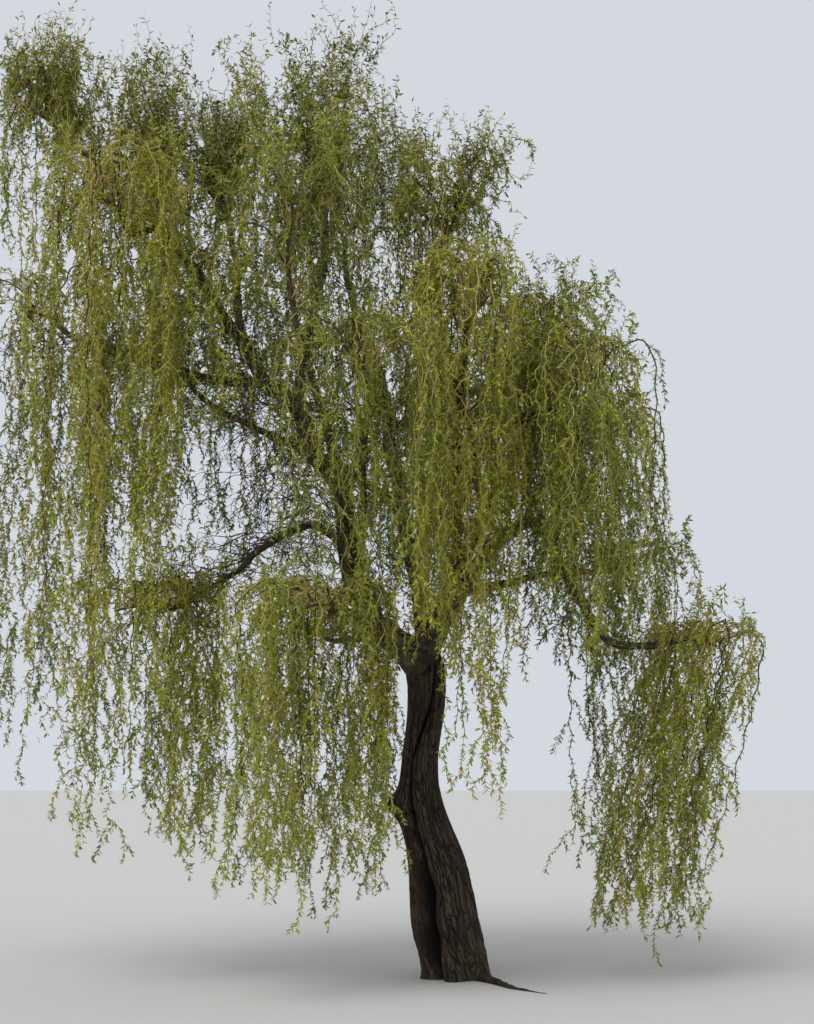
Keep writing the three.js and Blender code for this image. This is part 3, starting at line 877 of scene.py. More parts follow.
@dataclass
class Trunk:
    """The leaning trunk: two stems grown together along a seam, on a foot with flared roots."""

    foot_radius: float = 0.214
    legs: tuple[Leg, ...] = (
        (0.3, 180, 77), (0.485, 176, 81), (0.42, 180, 75), (0.33, 220, 87), (0.455, 0, 84), (0.345, 180, 87),
    )
    girths: tuple[float, ...] = (0.24, 0.204, 0.16, 0.126, 0.133, 0.15)
    dome_start: float = 5.45
    dome_drop: float = 0.8
    seam_depth: float = 0.052
    seam_width: float = 17.0
    pocket: Triple = (0.03, 0.4, 0.23)
    seam_levels: tuple[float, ...] = (0.0, 0.58, 1.18, 1.5, 1.9, 2.3)
    seam_headings: tuple[float, ...] = (230, 239, 236, 235, 290, 320)
    flute_count: int = 7
    flute_depth: float = 0.035
    turns_per_metre: float = 0.16
    root_count: int = 5
    root_spread: float = 0.058
    root_height: float = 0.24
    first_root: float = 332.0
    burl_heading: float = 184.0
    burl_height: float = 1.19
    burl_size: float = 0.084
    burl_span: float = 0.095
    burl_width: float = 26.0
    surface_root_start: Triple = (0.06, -0.02, 0.018)
    surface_root_legs: tuple[Leg, ...] = ((0.33, 300, -1), (0.34, 292, -1), (0.33, 308, 0))
    surface_root_radius: Pair = (0.042, 0.013)
    surface_root_sinking: float = 0.022
    surface_root_grid: tuple[int, int] = (60, 24)
    root_knot_scale: Pair = (1.5, 24.0)
    root_knots: Pair = (0.75, 1.25)
    columns: int = 220
    rows: int = 300
    ridge_columns: int = 63
    ridge_length: float = 0.25
    ridge_slant: float = 16.0
    strip_ridges: int = 3
    strip_rows: int = 4
    bark_stretch: float = 3.2
    warp_scale: float = 1.3
    warp_turn: float = 18.0
    warp_rows: float = 2.0
    ripple_scale: float = 6.0
    ripple_turn: float = 4.5
    ripple_rows: float = 0.6
    crack: Pair = (0.02, 0.3)
    strip_crack: Pair = (0.0, 0.3)
    roughness_scale: Triple = (26.0, 26.0, 12.0)
    roughness: float = 0.3
    furrow_depth: float = 0.012
    furrow_top_share: float = 0.55
    furrow_level: float = 0.72
    cleft_width: float = 3.6
    cleft_depth: float = 0.055
    cleft_range: Pair = (0.7, 0.9)
    # Painted shade in the cleft: how far the bark's colour pattern fades and darkens there.
    cleft_painted_shade: Pair = (0.95, 0.4)
    hollows: tuple[Pair, ...] = ((0.6, 0.13), (0.27, 0.11))
    hollow_width: float = 14.0
    hollow_shade: float = 0.75
    hollow_shade_turn: Pair = (7.0, 12.0)
    lip_turn: Pair = (21.0, 9.0)
    lip_height: float = 0.012
    worn_turn: Pair = (24.0, 14.0)
    worn_level: Pair = (0.5, 0.3)
    worn_warmth: float = 0.5
    least_radius: float = 0.02

    @property
    def path(self) -> Path:
        """The middle line of the trunk."""
        return Path.walked(np.zeros(3), self.legs)

    def girth(self, legs: float | Array) -> Array:
        """Return the plain radius of the trunk after the given numbers of legs."""
        radii = Path(np.array([[radius, 0.0, 0.0] for radius in (self.foot_radius, *self.girths)]))
        return radii.at(legs)[..., 0]

    def seam_turn(self, heading: Array, height: Array) -> Array:
        """Return the angle in degrees from the seam at a height to a heading."""
        seam = np.interp(height, self.seam_levels, self.seam_headings)
        return signed_turn(heading - seam)

    def radius(self, girth: Array, heading: Array, height: Array) -> Array:
        """Shape the outline of the trunk before its bark.

        Args:
            girth: The plain radius.
            heading: The heading from the middle line, in degrees.
            height: The height above the ground.

        Returns:
            The radius with seam, flutes, roots and burl.
        """
        depth, level, span = self.pocket
        seam_depth = self.seam_depth * np.minimum(1, girth / self.foot_radius)
        seam_depth = seam_depth + depth * bump(height - level, span)
        seam = seam_depth * bump(self.seam_turn(heading, height), self.seam_width)
        spiral = self.turns_per_metre * FULL_TURN * height
        flutes = girth * self.flute_depth * np.cos(np.radians(self.flute_count * (heading - spiral)))
        wave = 0.5 + 0.5 * np.cos(np.radians(self.root_count * (heading - self.first_root)))
        roots = self.root_spread * wave * np.maximum(0, 1 - height / self.root_height) ** 2
        burl = self.burl_size * bump(height - self.burl_height, self.burl_span)
        burl = burl * bump(signed_turn(heading - self.burl_heading), self.burl_width)
        return girth - seam + flutes + roots + burl

    def bark(self, heading: Array, height: Array) -> Array:
        """Shape the relief of the bark: long slanting ridges, gathered into strips.

        Args:
            heading: The heading from the middle line, in degrees.
            height: The height above the ground.

        Returns:
            The height of the relief, from 0 in a furrow to 1 on a ridge.
        """
        turn = np.radians(heading)
        place = np.stack([np.cos(turn), np.sin(turn), height * self.bark_stretch], -1)
        warp = lattice_noise(place * self.warp_scale, Seed.BARK_WARP) - 0.5
        ripple = lattice_noise(place * self.ripple_scale, Seed.BARK_RIPPLE) - 0.5
        slanted = heading + self.ridge_slant * height + self.warp_turn * warp + self.ripple_turn * ripple
        across = slanted % FULL_TURN * self.ridge_columns / FULL_TURN
        along = height / self.ridge_length + self.warp_rows * warp + self.ripple_rows * ripple
        borders = cell_borders(across, along, self.ridge_columns, Seed.BARK_RIDGES)
        strips = self.ridge_columns // self.strip_ridges
        strip_along = height / (self.strip_rows * self.ridge_length) + warp
        strip = cell_borders(across / self.strip_ridges, strip_along, strips, Seed.BARK_STRIPS)
        ridges = smooth_step(*self.crack, borders) * between(0.5, 1.0, smooth_step(*self.strip_crack, strip))
        rough = lattice_noise(place * np.array(self.roughness_scale), Seed.BARK_ROUGHNESS) - 0.5
        return np.clip(ridges + self.roughness * rough, 0, 1)

    def surface_root(self) -> tuple[Array, Array, Array]:
        """Shape the root that runs over the ground from the foot towards the front and the right.

        Returns:
            Its vertices, its triangles and the height of the relief at each vertex.
        """
        rows, columns = self.surface_root_grid
        path = Path.walked(np.array(self.surface_root_start), self.surface_root_legs)
        legs = np.linspace(0, path.leg_count, rows)
        share = legs / path.leg_count
        middle = path.at(legs)
        radius = between(*self.surface_root_radius, share)
        turn = np.linspace(0, 2 * math.pi, columns + 1)[:-1]
        rings, turns = np.meshgrid(np.arange(rows), turn, indexing="ij")
        across, along = self.root_knot_scale
        place = np.stack([share[rings] * along, np.cos(turns) * across, np.sin(turns) * across], -1)
        knots = lattice_noise(place.reshape(-1, 3), Seed.ROOT_KNOTS).reshape(rings.shape)
        reach = radius[rings] * between(*self.root_knots, knots)
        side = np.cross(path.tangents(legs), (0.0, 0.0, 1.0))
        places = middle[rings] + side[rings] * (reach * np.cos(turns))[..., None]
        sunk = self.surface_root_sinking * share[rings] ** 2
        places[..., 2] = np.maximum(0.0, places[..., 2] - sunk + reach * np.sin(turns))
        return places.reshape(-1, 3), grid_triangles(rows, columns), knots.ravel()

    def build(self) -> bpy.types.Object:
        """Build the trunk from its flat foot to its fork and dress it in bark.

        Returns:
            The trunk, which stands for the trunk's solid.
        """
        places, relief, warmth = self.surface()
        root_places, root_triangles, root_relief = self.surface_root()
        triangles = closed_tube(self.rows, self.columns, len(places) - 2)
        triangles = np.vstack([triangles, root_triangles + len(places)])
        piece = mesh_piece("trunk_bark", np.vstack([places, root_places]), triangles)
        add_attribute(piece, "relief", np.concatenate([relief, root_relief]))
        add_attribute(piece, "warmth", np.concatenate([warmth, np.zeros(len(root_places))]))
        piece.data.materials.append(TRUNK_BARK.material())
        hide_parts("trunk")
        return piece

    def surface(self) -> tuple[Array, Array, Array]:
        """Shape the trunk's bark with its cleft, the lips beside it and its hollows.

        Returns:
            The vertices ring by ring and then the middles of foot and top, with the height of the relief,
            lowered as painted shade in the cleft and hollows, and the warmth at each.
        """
        legs = np.linspace(0, self.path.leg_count, self.rows)
        middle = self.path.at(legs)
        headings = np.linspace(0, FULL_TURN, self.columns + 1)[:-1]
        row, column = np.meshgrid(np.arange(self.rows), np.arange(self.columns), indexing="ij")
        row, column = row.ravel(), column.ravel()
        heading, height = headings[column], middle[row, 2]
        over = np.maximum(0, (legs - self.dome_start) / (self.path.leg_count - self.dome_start))
        girth = (self.girth(legs) * np.sqrt(1 - self.dome_drop * over**2))[row]
        seam_turn = self.seam_turn(heading, height)
        hollow = sum(bump(height - level, span) for level, span in self.hollows)
        cleft = bump(seam_turn / (self.cleft_width + self.hollow_width * hollow), 1.0)
        lip_turn, lip_width = self.lip_turn
        lip = self.lip_height * bump(np.abs(seam_turn) - lip_turn, lip_width)
        relief = self.bark(heading, height)
        depth = self.furrow_depth * between(1.0, self.furrow_top_share, height / middle[-1, 2])
        plain, deeper = self.cleft_range
        radius = self.radius(girth, heading, height) + depth * (relief - self.furrow_level)
        radius += lip - self.cleft_depth * (plain + deeper * hollow) * cleft
        places = middle[row] + direction(heading) * np.maximum(radius, self.least_radius)[:, None]
        places[:, 2] = height
        # Painted shade: the relief that colours the bark is faded and lowered in the cleft, and lowered
        # further on the left wall of the hollows, so the ramp paints them dark.
        shade_turn, shade_width = self.hollow_shade_turn
        shade = np.minimum(1, hollow) * bump(seam_turn + shade_turn, shade_width)
        smoothing, darkening = self.cleft_painted_shade
        relief = relief * (1 - smoothing * cleft) - darkening * cleft - self.hollow_shade * shade
        worn_turn, worn_width = self.worn_turn
        worn_level, worn_span = self.worn_level
        worn = (1 - shade) * bump(seam_turn + worn_turn, worn_width) * bump(height - worn_level, worn_span)
        places = np.vstack([places, middle[0], middle[-1]])
        return places, np.append(relief, (0.5, 0.5)), np.append(self.worn_warmth * worn, (0, 0))


@dataclass
class Skeleton:
    """The middle lines of trunk and limbs, and the space of each mass of foliage among them."""

    trunk: Trunk
    limbs: tuple[Limb, ...]
    lane_share: float = 0.03
    limb_distance: float = 0.014
    mark_step: float = 0.045
    taper: float = 0.65
    stem_tip_share: float = 0.75
    reach_share: float = 1.12
    crest_share: float = 1.3
    reach_margin: float = 0.06
    top_room: float = 0.1
    least_height: float = 0.02
    gap_half: float = 0.11
    gap_top: float = 2.05
    gap_top_spread: float = 1.0
    gap_edge_scale: float = 9.0
    line_places: int = 60
    batch: int = 4096

    def __post_init__(self) -> None:
        """Walk every limb from its parent and mark the places that twigs keep away from."""
        trunk, limbs = self.trunk, self.limbs
        self.paths = {"trunk": trunk.path}
        self.trunk_line = trunk.path.at(np.linspace(0, trunk.path.leg_count, self.line_places))
        for limb in limbs:
            start = self.paths[limb.parent].at(limb.origin)
            self.paths[limb.name] = Path.walked(start, limb.legs + limb.mass.stem)
        self.axes = np.array([self.axis(limb) for limb in limbs])
        shares = [self.crest_share if limb.mass.peak else self.reach_share for limb in limbs]
        self.reaches = np.array([limb.mass.reach for limb in limbs]) * shares + self.reach_margin
        self.peaks = np.array([limb.mass.peak or math.inf for limb in limbs])
        marks = [self.limb_marks(limb) for limb in limbs]
        trunk_legs = np.linspace(0, trunk.path.leg_count, math.ceil(trunk.path.length() / self.mark_step) + 1)
        marks.append((trunk.path.at(trunk_legs), trunk.girth(trunk_legs) + trunk.burl_size))
        self.marks = np.vstack([places for places, _ in marks])
        self.mark_radii = np.concatenate([radii for _, radii in marks])

    def axis(self, limb: Limb) -> Array:
        """Find the line round which a limb's mass hangs.

        Args:
            limb: The limb.

        Returns:
            The upper and the lower end of the line.
        """
        path, mass = self.paths[limb.name], limb.mass
        middle, tip = path.at(path.leg_count - 1), path.at(path.leg_count)
        foot = middle + mass.drift[1] * direction(mass.drift[0])
        foot[2] = mass.hem
        return np.array([[middle[0], middle[1], max(tip[2], mass.peak)], foot])

    def radius(self, limb: Limb, legs: Array) -> Array:
        """Find how thick a limb is.

        Args:
            limb: The limb.
            legs: How many of its legs lie before each place.

        Returns:
            The radius at each place.
        """
        root, tip = limb.radius
        count = len(limb.legs)
        stem = (legs - count) / len(limb.mass.stem)
        bough = between(root, tip, np.clip(legs / count, 0, 1) ** self.taper)
        return np.where(legs <= count, bough, tip * between(1, self.stem_tip_share, stem))

    def limb_marks(self, limb: Limb) -> tuple[Array, Array]:
        """Mark a limb at places one step apart.

        Args:
            limb: The limb.

        Returns:
            The places and the limb's radius at each.
        """
        path = self.paths[limb.name]
        length = path.length() * len(limb.legs) / path.leg_count
        legs = np.linspace(0, len(limb.legs), math.ceil(length / self.mark_step) + 1)
        return path.at(legs), self.radius(limb, legs)

    def near_top(self, masses: Array, places: Array) -> Array:
        """Tell which places are on a crest mass or near the top of another."""
        on_crest = np.isfinite(self.peaks)[masses]
        return on_crest | (places[:, 2] > self.axes[masses, 0, 2] - self.top_room)

    def clear_of_limbs(self, places: Array, room: float) -> Array:
        """Tell which places keep away from the trunk and every limb.

        Args:
            places: The places.
            room: The distance to keep from the bark.

        Returns:
            True for each place that is clear.
        """
        clear = np.ones(len(places), bool)
        for start in range(0, len(places), self.batch):
            part = places[start : start + self.batch, None]
            gaps = np.linalg.norm(part - self.marks, axis=-1) - self.mark_radii
            clear[start : start + self.batch] = gaps.min(axis=1) > room
        return clear

    def in_own_space(self, masses: Array, places: Array, lane: float) -> Array:
        """Tell which places are within reach of their own mass's axis and nearer to it than to any other.

        Args:
            masses: The number of each place's mass.
            places: The places.
            lane: Half the width of the lane left between two masses.

        Returns:
            True for each place in its own mass's space.
        """
        heads, spans = self.axes[:, 0], self.axes[:, 1] - self.axes[:, 0]
        offsets = places[:, None] - heads
        shares = np.clip((offsets * spans).sum(-1) / (spans**2).sum(-1), 0, 1)
        distances = np.linalg.norm(offsets - shares[..., None] * spans, axis=-1)
        rows = np.arange(len(places))
        own = distances[rows, masses].copy()
        distances[rows, masses] = np.inf
        inside = (own < self.reaches[masses]) & (places[:, 2] < self.peaks[masses])
        return inside & (distances.min(axis=1) > own + 2 * lane)

    def beside_trunk(self, places: Array) -> Array:
        """Tell which places keep out of the gap that the curtain leaves before the trunk.

        Args:
            places: The places.

        Returns:
            True for each place above the gap, beside it or behind the trunk's middle.
        """
        heights = self.trunk_line[:, 2]
        across = np.abs(places[:, 0] - np.interp(places[:, 2], heights, self.trunk_line[:, 0]))
        scale = self.gap_edge_scale
        edge = lattice_noise(places * (scale, scale, 0.0), Seed.CURTAIN_EDGE) - 0.5
        top = self.gap_top + self.gap_top_spread * edge
        return (places[:, 2] > top) | (across > self.gap_half) | (places[:, 1] > 0)

    def fits(self, masses: Array, places: Array, room: float, lane: float) -> Array:
        """Tell which places are above the ground, in their mass's space and clear of the limbs.

        Args:
            masses: The number of each place's mass.
            places: The places.
            room: The distance to keep from the bark beyond that of every twig.
            lane: Half the width of the lane left between two masses.

        Returns:
            True for each place that fits.
        """
        fitting = (places[:, 2] > self.least_height) & self.in_own_space(masses, places, lane)
        fitting &= self.beside_trunk(places)
        fitting[fitting] = self.clear_of_limbs(places[fitting], room + self.limb_distance)
        return fitting


@dataclass(frozen=True)
class ArmRule:
    """How the arms of a mass arch out from its stem and hang, and how its sprigs stand up."""

    first_key: int = 0
    density: float = 1.0
    first_share: float = 0.3
    shortening: float = 0.38
    shortening_power: float = 1.5
    radius: float = 0.009
    lane: float = Skeleton.lane_share
    turn_scatter: float = 30.0
    reach_scatter: Pair = (0.4, 0.4)
    lift_shares: Pair = (0.95, 0.6)
    lift_range: Pair = (0.7, 1.2)
    most_lift: float = 1.2
    droop: float = 0.25
    fall_step: float = 1.0
    sway: float = 0.08
    sway_key: int = 10
    attempts: int = 12
    crest_setback: float = 0.3
    sample_step: float = 0.04
    widening: float = 1.0
    crowding: dict[str, float] = field(default_factory=dict)
    sprig_key: int = 100
    sprig_spacing: float = 0.6
    sprig_levels: int = 4
    sprig_scatter: float = 40.0
    sprig_spread: float = 1.0
    sprig_heights: Pair = (0.86, 1.0)
    sprig_shares: tuple[Triple, ...] = ((0.2, 1, 0.4), (0.25, -1, 0.75), (0.4, 0, 1))

    def arm_count(self, mass: Mass) -> int:
        """Return how many arms a mass has under this rule."""
        return round(mass.arms * self.density * self.crowding.get(mass.name, 1.0))

    def arm(self, skeleton: Skeleton, index: int, number: int, attempt: int) -> Array:
        """Walk the waypoints of one arm.

        Args:
            skeleton: The limbs that carry the masses.
            index: The number of the mass.
            number: The number of the arm.
            attempt: How many times the arm has been tried before.

        Returns:
            The waypoints, from the stem out and then down to the hem.
        """
        limb = skeleton.limbs[index]
        mass, path = limb.mass, skeleton.paths[limb.name]
        keys = (index, self.first_key + number, attempt)
        draw = [float(chance(*keys, use)) for use in range(5)]
        count = self.arm_count(mass)
        stem_share = between(self.first_share, 1, (number + 0.5) / count)
        start = path.at(len(limb.legs) + len(mass.stem) * stem_share)
        heading = number * GOLDEN_ANGLE + FULL_TURN * float(chance(index))
        heading += between(-self.turn_scatter, self.turn_scatter, draw[1])
        least, spread = self.reach_scatter
        reach = self.widening * mass.reach * math.sqrt((number + least + spread * draw[2]) / count)
        room = mass.peak - self.crest_setback - start[2] if mass.peak else mass.lift * self.most_lift
        lift = min(room, mass.lift * between(*self.lift_range, draw[3]))
        half_lift, top_lift = (share * lift for share in self.lift_shares)
        fall = self.droop * reach
        top = start + reach * direction(heading) + (0, 0, top_lift - fall)
        points = [start, start + reach / 2 * direction(heading) + (0, 0, half_lift - fall / 2), top]
        bottom = between(mass.hem, top[2], self.shortening * draw[4] ** self.shortening_power)
        steps = max(1, int((top[2] - bottom) / self.fall_step + 0.5))
        for step in range(1, steps + 1):
            share = step / steps
            sway = self.sway * direction(FULL_TURN * float(chance(*keys, self.sway_key + step)))
            hung = top + sway + mass.drift[1] * share * direction(mass.drift[0])
            hung[2] = between(top[2], bottom, share)
            points.append(hung)
        return np.array(points)

    def sprig(self, skeleton: Skeleton, index: int, number: int, attempt: int) -> Array:
        """Walk the waypoints of one sprig that stands up from the crest.

        Args:
            skeleton: The limbs that carry the masses.
            index: The number of the mass.
            number: The number of the sprig.
            attempt: How many times the sprig has been tried before.

        Returns:
            The waypoints, from the stem up.
        """
        limb = skeleton.limbs[index]
        path = skeleton.paths[limb.name]
        keys = (index, self.first_key + self.sprig_key + number, attempt)
        draw = [float(chance(*keys, use)) for use in range(3)]
        start = path.at(path.leg_count - self.sprig_spacing * (number % self.sprig_levels))
        heading = FULL_TURN / 2 * number + FULL_TURN * float(chance(index, Draw.SPRIG_HEADING))
        heading += between(-self.sprig_scatter, self.sprig_scatter, draw[1])
        height = limb.mass.peak - self.crest_setback - start[2]
        height *= between(*self.sprig_heights, draw[2] if number else 1)
        spread = between(1, self.sprig_spread, float(chance(index, number, attempt, Draw.SPRIG_SPREAD)))
        way = spread * limb.mass.reach * direction(heading)
        curl = self.sway * direction(heading + FULL_TURN / 4)
        later = (start + out * way + side * curl + (0, 0, height * up) for out, side, up in self.sprig_shares)
        return np.array([start, *later])

    def kept(self, skeleton: Skeleton, index: int, points: Array) -> Array | None:
        """Find the first part of a twig that keeps to its space.

        Args:
            skeleton: The limbs that carry the masses.
            index: The number of the mass.
            points: The twig's waypoints.

        Returns:
            The waypoints of that part, or nothing where it is too short.
        """
        legs = [
            np.linspace(start, end, math.ceil(np.linalg.norm(end - start) / self.sample_step) + 1)[1:]
            for start, end in zip(points, points[1:])
        ]
        places = np.vstack(legs)
        fitting = skeleton.fits(np.full(len(places), index), places, self.radius, self.lane)
        ends = np.cumsum([len(leg) for leg in legs])
        good = next((number for number, end in enumerate(ends) if not fitting[:end].all()), len(legs))
        return points[: good + 1] if good > 1 else None

    def twigs(self, skeleton: Skeleton, index: int, sprigs: int) -> list[Array]:
        """Walk every arm and sprig of a mass that fits it.

        Args:
            skeleton: The limbs that carry the masses.
            index: The number of the mass.
            sprigs: How many sprigs a mass on the crest has.

        Returns:
            The waypoints of each twig.
        """
        mass = skeleton.limbs[index].mass
        walks = [(self.arm, number) for number in range(self.arm_count(mass))]
        walks += [(self.sprig, number) for number in range(sprigs if mass.peak else 0)]
        found = []
        for walk, number in walks:
            for attempt in range(self.attempts):
                points = self.kept(skeleton, index, walk(skeleton, index, number, attempt))
                if points is not None:
                    found.append(points)
                    break
        return found


@dataclass
class Twigs:
    """Many twigs as places one step apart, one twig after another.

    Each twig has its number of places, its mass, a key for its draws and the key of its spray.
    """

    places: Array
    counts: Array
    masses: Array
    keys: Array
    sprays: Array
    step: float
    straight_root: float = 0.12
    taper: float = 0.7
    curl_power: float = 1.5
    flatness: Pair = (0.25, 1.0)

    @staticmethod
    def through(
        walks: list[Array], masses: Array, first_key: int, step: float, sprays: Array | None = None
    ) -> "Twigs":
        """Make twigs that follow waypoints.

        Args:
            walks: The waypoints of each twig.
            masses: The number of each twig's mass.
            first_key: The key of the first twig.
            step: The distance between places.
            sprays: The key of each twig's spray, where it isn't its own.

        Returns:
            The twigs.
        """
        lines = [Path(walk).spaced(step) for walk in walks]
        keys = first_key + np.arange(len(lines))
        counts = np.array([len(line) for line in lines])
        sprays = keys if sprays is None else sprays
        return Twigs(np.vstack(lines), counts, np.asarray(masses), keys, sprays, step)

    @property
    def firsts(self) -> Array:
        """The number of each twig's first place."""
        return np.cumsum(self.counts) - self.counts

    @property
    def owners(self) -> Array:
        """The number of each place's twig."""
        return np.repeat(np.arange(len(self.counts)), self.counts)

    @property
    def ranks(self) -> Array:
        """How many places of its twig lie before each place."""
        return np.arange(len(self.places)) - self.firsts[self.owners]

    @property
    def roots(self) -> Array:
        """Each twig's first place."""
        return self.places[self.firsts]

    @property
    def tips(self) -> Array:
        """Each twig's last place."""
        return self.places[self.firsts + self.counts - 1]

    def tangents(self) -> Array:
        """Find the direction of the twig at each place.

        Returns:
            The unit directions.
        """
        first = self.firsts[self.owners]
        last = first + self.counts[self.owners] - 1
        here = np.arange(len(self.places))
        return unit(self.places[np.minimum(here + 1, last)] - self.places[np.maximum(here - 1, first)])

    def sides(self) -> tuple[Array, Array]:
        """Find two directions square to the twig at each place.

        Returns:
            The unit directions to one side and to the other.
        """
        tangents = self.tangents()
        level = direction(FULL_TURN * chance(self.keys, Draw.CURL_SIDE))[self.owners]
        side = unit(np.cross(tangents, level))
        return side, np.cross(tangents, side)

    def moved(self, places: Array) -> "Twigs":
        """Return these twigs with other places."""
        return replace(self, places=places)

    def curled(self, width: Pair, pitch: Pair) -> "Twigs":
        """Wind each twig into a loose corkscrew.

        Args:
            width: The least and the greatest radius of the winding.
            pitch: The least and the greatest length of one turn.

        Returns:
            The wound twigs.
        """
        owners, arc = self.owners, self.ranks * self.step
        side, across = self.sides()
        reach = between(*width, chance(self.keys, Draw.CURL_WIDTH) ** self.curl_power)[owners]
        reach = reach * np.minimum(1, arc / self.straight_root)
        turns = arc / between(*pitch, chance(self.keys, Draw.CURL_PITCH))[owners]
        turns = 2 * np.pi * (turns + chance(self.keys, Draw.CURL_START)[owners])
        flat = between(*self.flatness, chance(self.keys, Draw.CURL_FLATNESS))[owners]
        wave = (reach * np.cos(turns))[:, None] * side
        wave += (reach * flat * np.sin(turns))[:, None] * across
        return self.moved(self.places + wave)

    def trimmed(self, fitting: Array, fewest: int) -> "Twigs":
        """Cut each twig off at its first place that doesn't fit, and drop what is too short.

        Args:
            fitting: True for each place that fits.
            fewest: The fewest places that a twig keeps.

        Returns:
            The twigs that are left.
        """
        owners, ranks = self.owners, self.ranks
        reach = self.counts.copy()
        np.minimum.at(reach, owners[~fitting], ranks[~fitting])
        left = reach >= fewest
        shorter = replace(self, places=self.places[ranks < reach[owners]], counts=reach)
        return shorter.chosen(left)

    def chosen(self, some: Array) -> "Twigs":
        """Return the twigs for which some is true."""
        twigs = {name: getattr(self, name)[some] for name in ("counts", "masses", "keys", "sprays")}
        return replace(self, places=self.places[some[self.owners]], **twigs)

    def joined(self, other: "Twigs") -> "Twigs":
        """Join these twigs and another set with the same step.

        Args:
            other: The other set.

        Returns:
            All the twigs, these first.
        """
        names = ("places", "counts", "masses", "keys", "sprays")
        pairs = {name: (getattr(self, name), getattr(other, name)) for name in names}
        return replace(self, **{name: np.concatenate(pair) for name, pair in pairs.items()})

    def spots(self, spacing: float, bare: float) -> tuple[Array, Array, Array, Array]:
        """Deal out places along the twigs.

        Args:
            spacing: The mean distance between two spots.
            bare: The share of a twig before its first spot.

        Returns:
            For each spot the number of its twig, its number on the twig, its place and its direction.
        """
        lengths = (self.counts - 1) * self.step * (1 - bare)
        numbers = np.floor(lengths / spacing + chance(self.keys, Draw.SPOT_COUNT)).astype(int)
        twig = np.repeat(np.arange(len(numbers)), numbers)
        rank = np.arange(len(twig)) - (np.cumsum(numbers) - numbers)[twig]
        scatter = chance(self.keys[twig], Draw.SPOT_PLACE, rank)
        spot = (bare + (1 - bare) * (rank + scatter) / numbers[twig]) * (self.counts[twig] - 1)
        low = np.minimum(np.floor(spot).astype(int), self.counts[twig] - 2)
        start = self.places[self.firsts[twig] + low]
        leg = self.places[self.firsts[twig] + low + 1] - start
        return twig, rank, start + (spot - low)[:, None] * leg, unit(leg)

    def tubes(self, root: float, tip: float) -> tuple[Array, Array]:
        """Build three-sided tubes that taper to a point.

        Args:
            root: The radius at the root.
            tip: The radius next to the tip.

        Returns:
            The vertices and triangles of all the tubes.
        """
        owners, ranks, counts = self.owners, self.ranks, self.counts[self.owners]
        side, across = self.sides()
        is_tip = ranks == counts - 1
        radius = between(root, tip, (ranks / (counts - 1)) ** self.taper)
        rings = []
        for corner in range(3):
            turn = 2 * math.pi * corner / 3
            rings.append(self.places + radius[:, None] * (math.cos(turn) * side + math.sin(turn) * across))
        rings = np.stack(rings, 1)
        rings[is_tip, 0] = self.places[is_tip]
        used = np.ones((len(owners), 3), bool)
        used[is_tip, 1:] = False
        base = 3 * np.arange(len(owners)) - 2 * owners
        walls, point, foot = base[ranks < counts - 2], base[ranks == counts - 2], base[ranks == 0]
        triangles = [np.stack([foot, foot + 2, foot + 1], -1)]
        for corner in range(3):
            after = (corner + 1) % 3
            triangles.append(np.stack([walls + corner, walls + after, walls + 3 + after], -1))
            triangles.append(np.stack([walls + corner, walls + 3 + after, walls + 3 + corner], -1))
            triangles.append(np.stack([point + corner, point + after, point + 3], -1))
        return rings[used], np.vstack(triangles)


@dataclass(frozen=True)
class SideRule:
    """How side twigs leave the twigs or limbs that bear them, and then hang.

    Each of their three legs mixes the bearer's way, a way out, the way down and a loose way.
    """

    first_key: int
    spacing: float
    bare: float
    length: Pair
    step: float
    hang: float
    curl: Pair
    pitch: Pair
    rise: float = 0.0
    fewest: int = 4
    lowest: float = 0.0
    leg_shares: Triple = (0.3, 0.35, 0.35)
    turn_scatter: float = 40.0
    hang_scatter: Pair = (0.7, 1.3)
    rising_hang: float = -0.9
    root_mix: Triple = (0.6, 0.9, 0.35)
    middle_mix: Triple = (0.35, 1.1, 0.25)
    tip_mix: Pair = (1.4, 0.3)
    rising_tip: float = 0.9
    lane: float = 0.004
    limb_room: float = 0.004
    free_places: int = 3

    def grow(self, parents: Twigs, skeleton: Skeleton, keep_space: bool = True) -> Twigs:
        """Grow the side twigs of many twigs.

        Args:
            parents: The twigs that bear them.
            skeleton: The limbs to keep clear of.
            keep_space: Whether each twig stays in its mass's space.

        Returns:
            The side twigs that fit.
        """
        spots = parents.spots(self.spacing, self.bare)
        high = spots[2][:, 2] > self.lowest
        twig, rank, root, way = (values[high] for values in spots)
        keys = parents.keys[twig]
        draw = [chance(keys, rank, use) for use in range(Draw.SIDE_TWIG, Draw.SIDE_TWIG + 6)]
        scatter = between(-self.turn_scatter, self.turn_scatter, draw[1])
        out = direction(GOLDEN_ANGLE * rank + FULL_TURN * chance(keys, Draw.SIDE_HEADING) + scatter)
        rising = ((draw[2] < self.rise) & skeleton.near_top(parents.masses[twig], root))[:, None]
        hang = np.where(rising, self.rising_hang, self.hang) * between(*self.hang_scatter, draw[3])[:, None]
        down = hang * np.array([0, 0, -1.0])
        length = between(*self.length, draw[0])[:, None]
        root_leg, middle_leg, tip_leg = (length * share for share in self.leg_shares)
        along, sideways, lower = self.root_mix
        first = root + root_leg * unit(along * way + sideways * out + lower * down)
        sideways, lower, loose = self.middle_mix
        astray = loose * direction(FULL_TURN * draw[4])
        second = first + middle_leg * unit(sideways * out + lower * down + astray)
        lower, loose = self.tip_mix
        astray = np.where(rising, self.rising_tip, loose) * direction(FULL_TURN * draw[5])
        third = second + tip_leg * unit(lower * down + astray)
        walks = list(np.stack([root, first, second, third], 1))
        twigs = Twigs.through(walks, parents.masses[twig], self.first_key, self.step, parents.sprays[twig])
        twigs = twigs.curled(self.curl, self.pitch)
        if keep_space:
            fitting = skeleton.fits(twigs.masses[twigs.owners], twigs.places, 0.0, self.lane)
        else:
            fitting = skeleton.clear_of_limbs(twigs.places, self.limb_room) | (twigs.ranks < self.free_places)
        return twigs.trimmed(fitting, self.fewest)


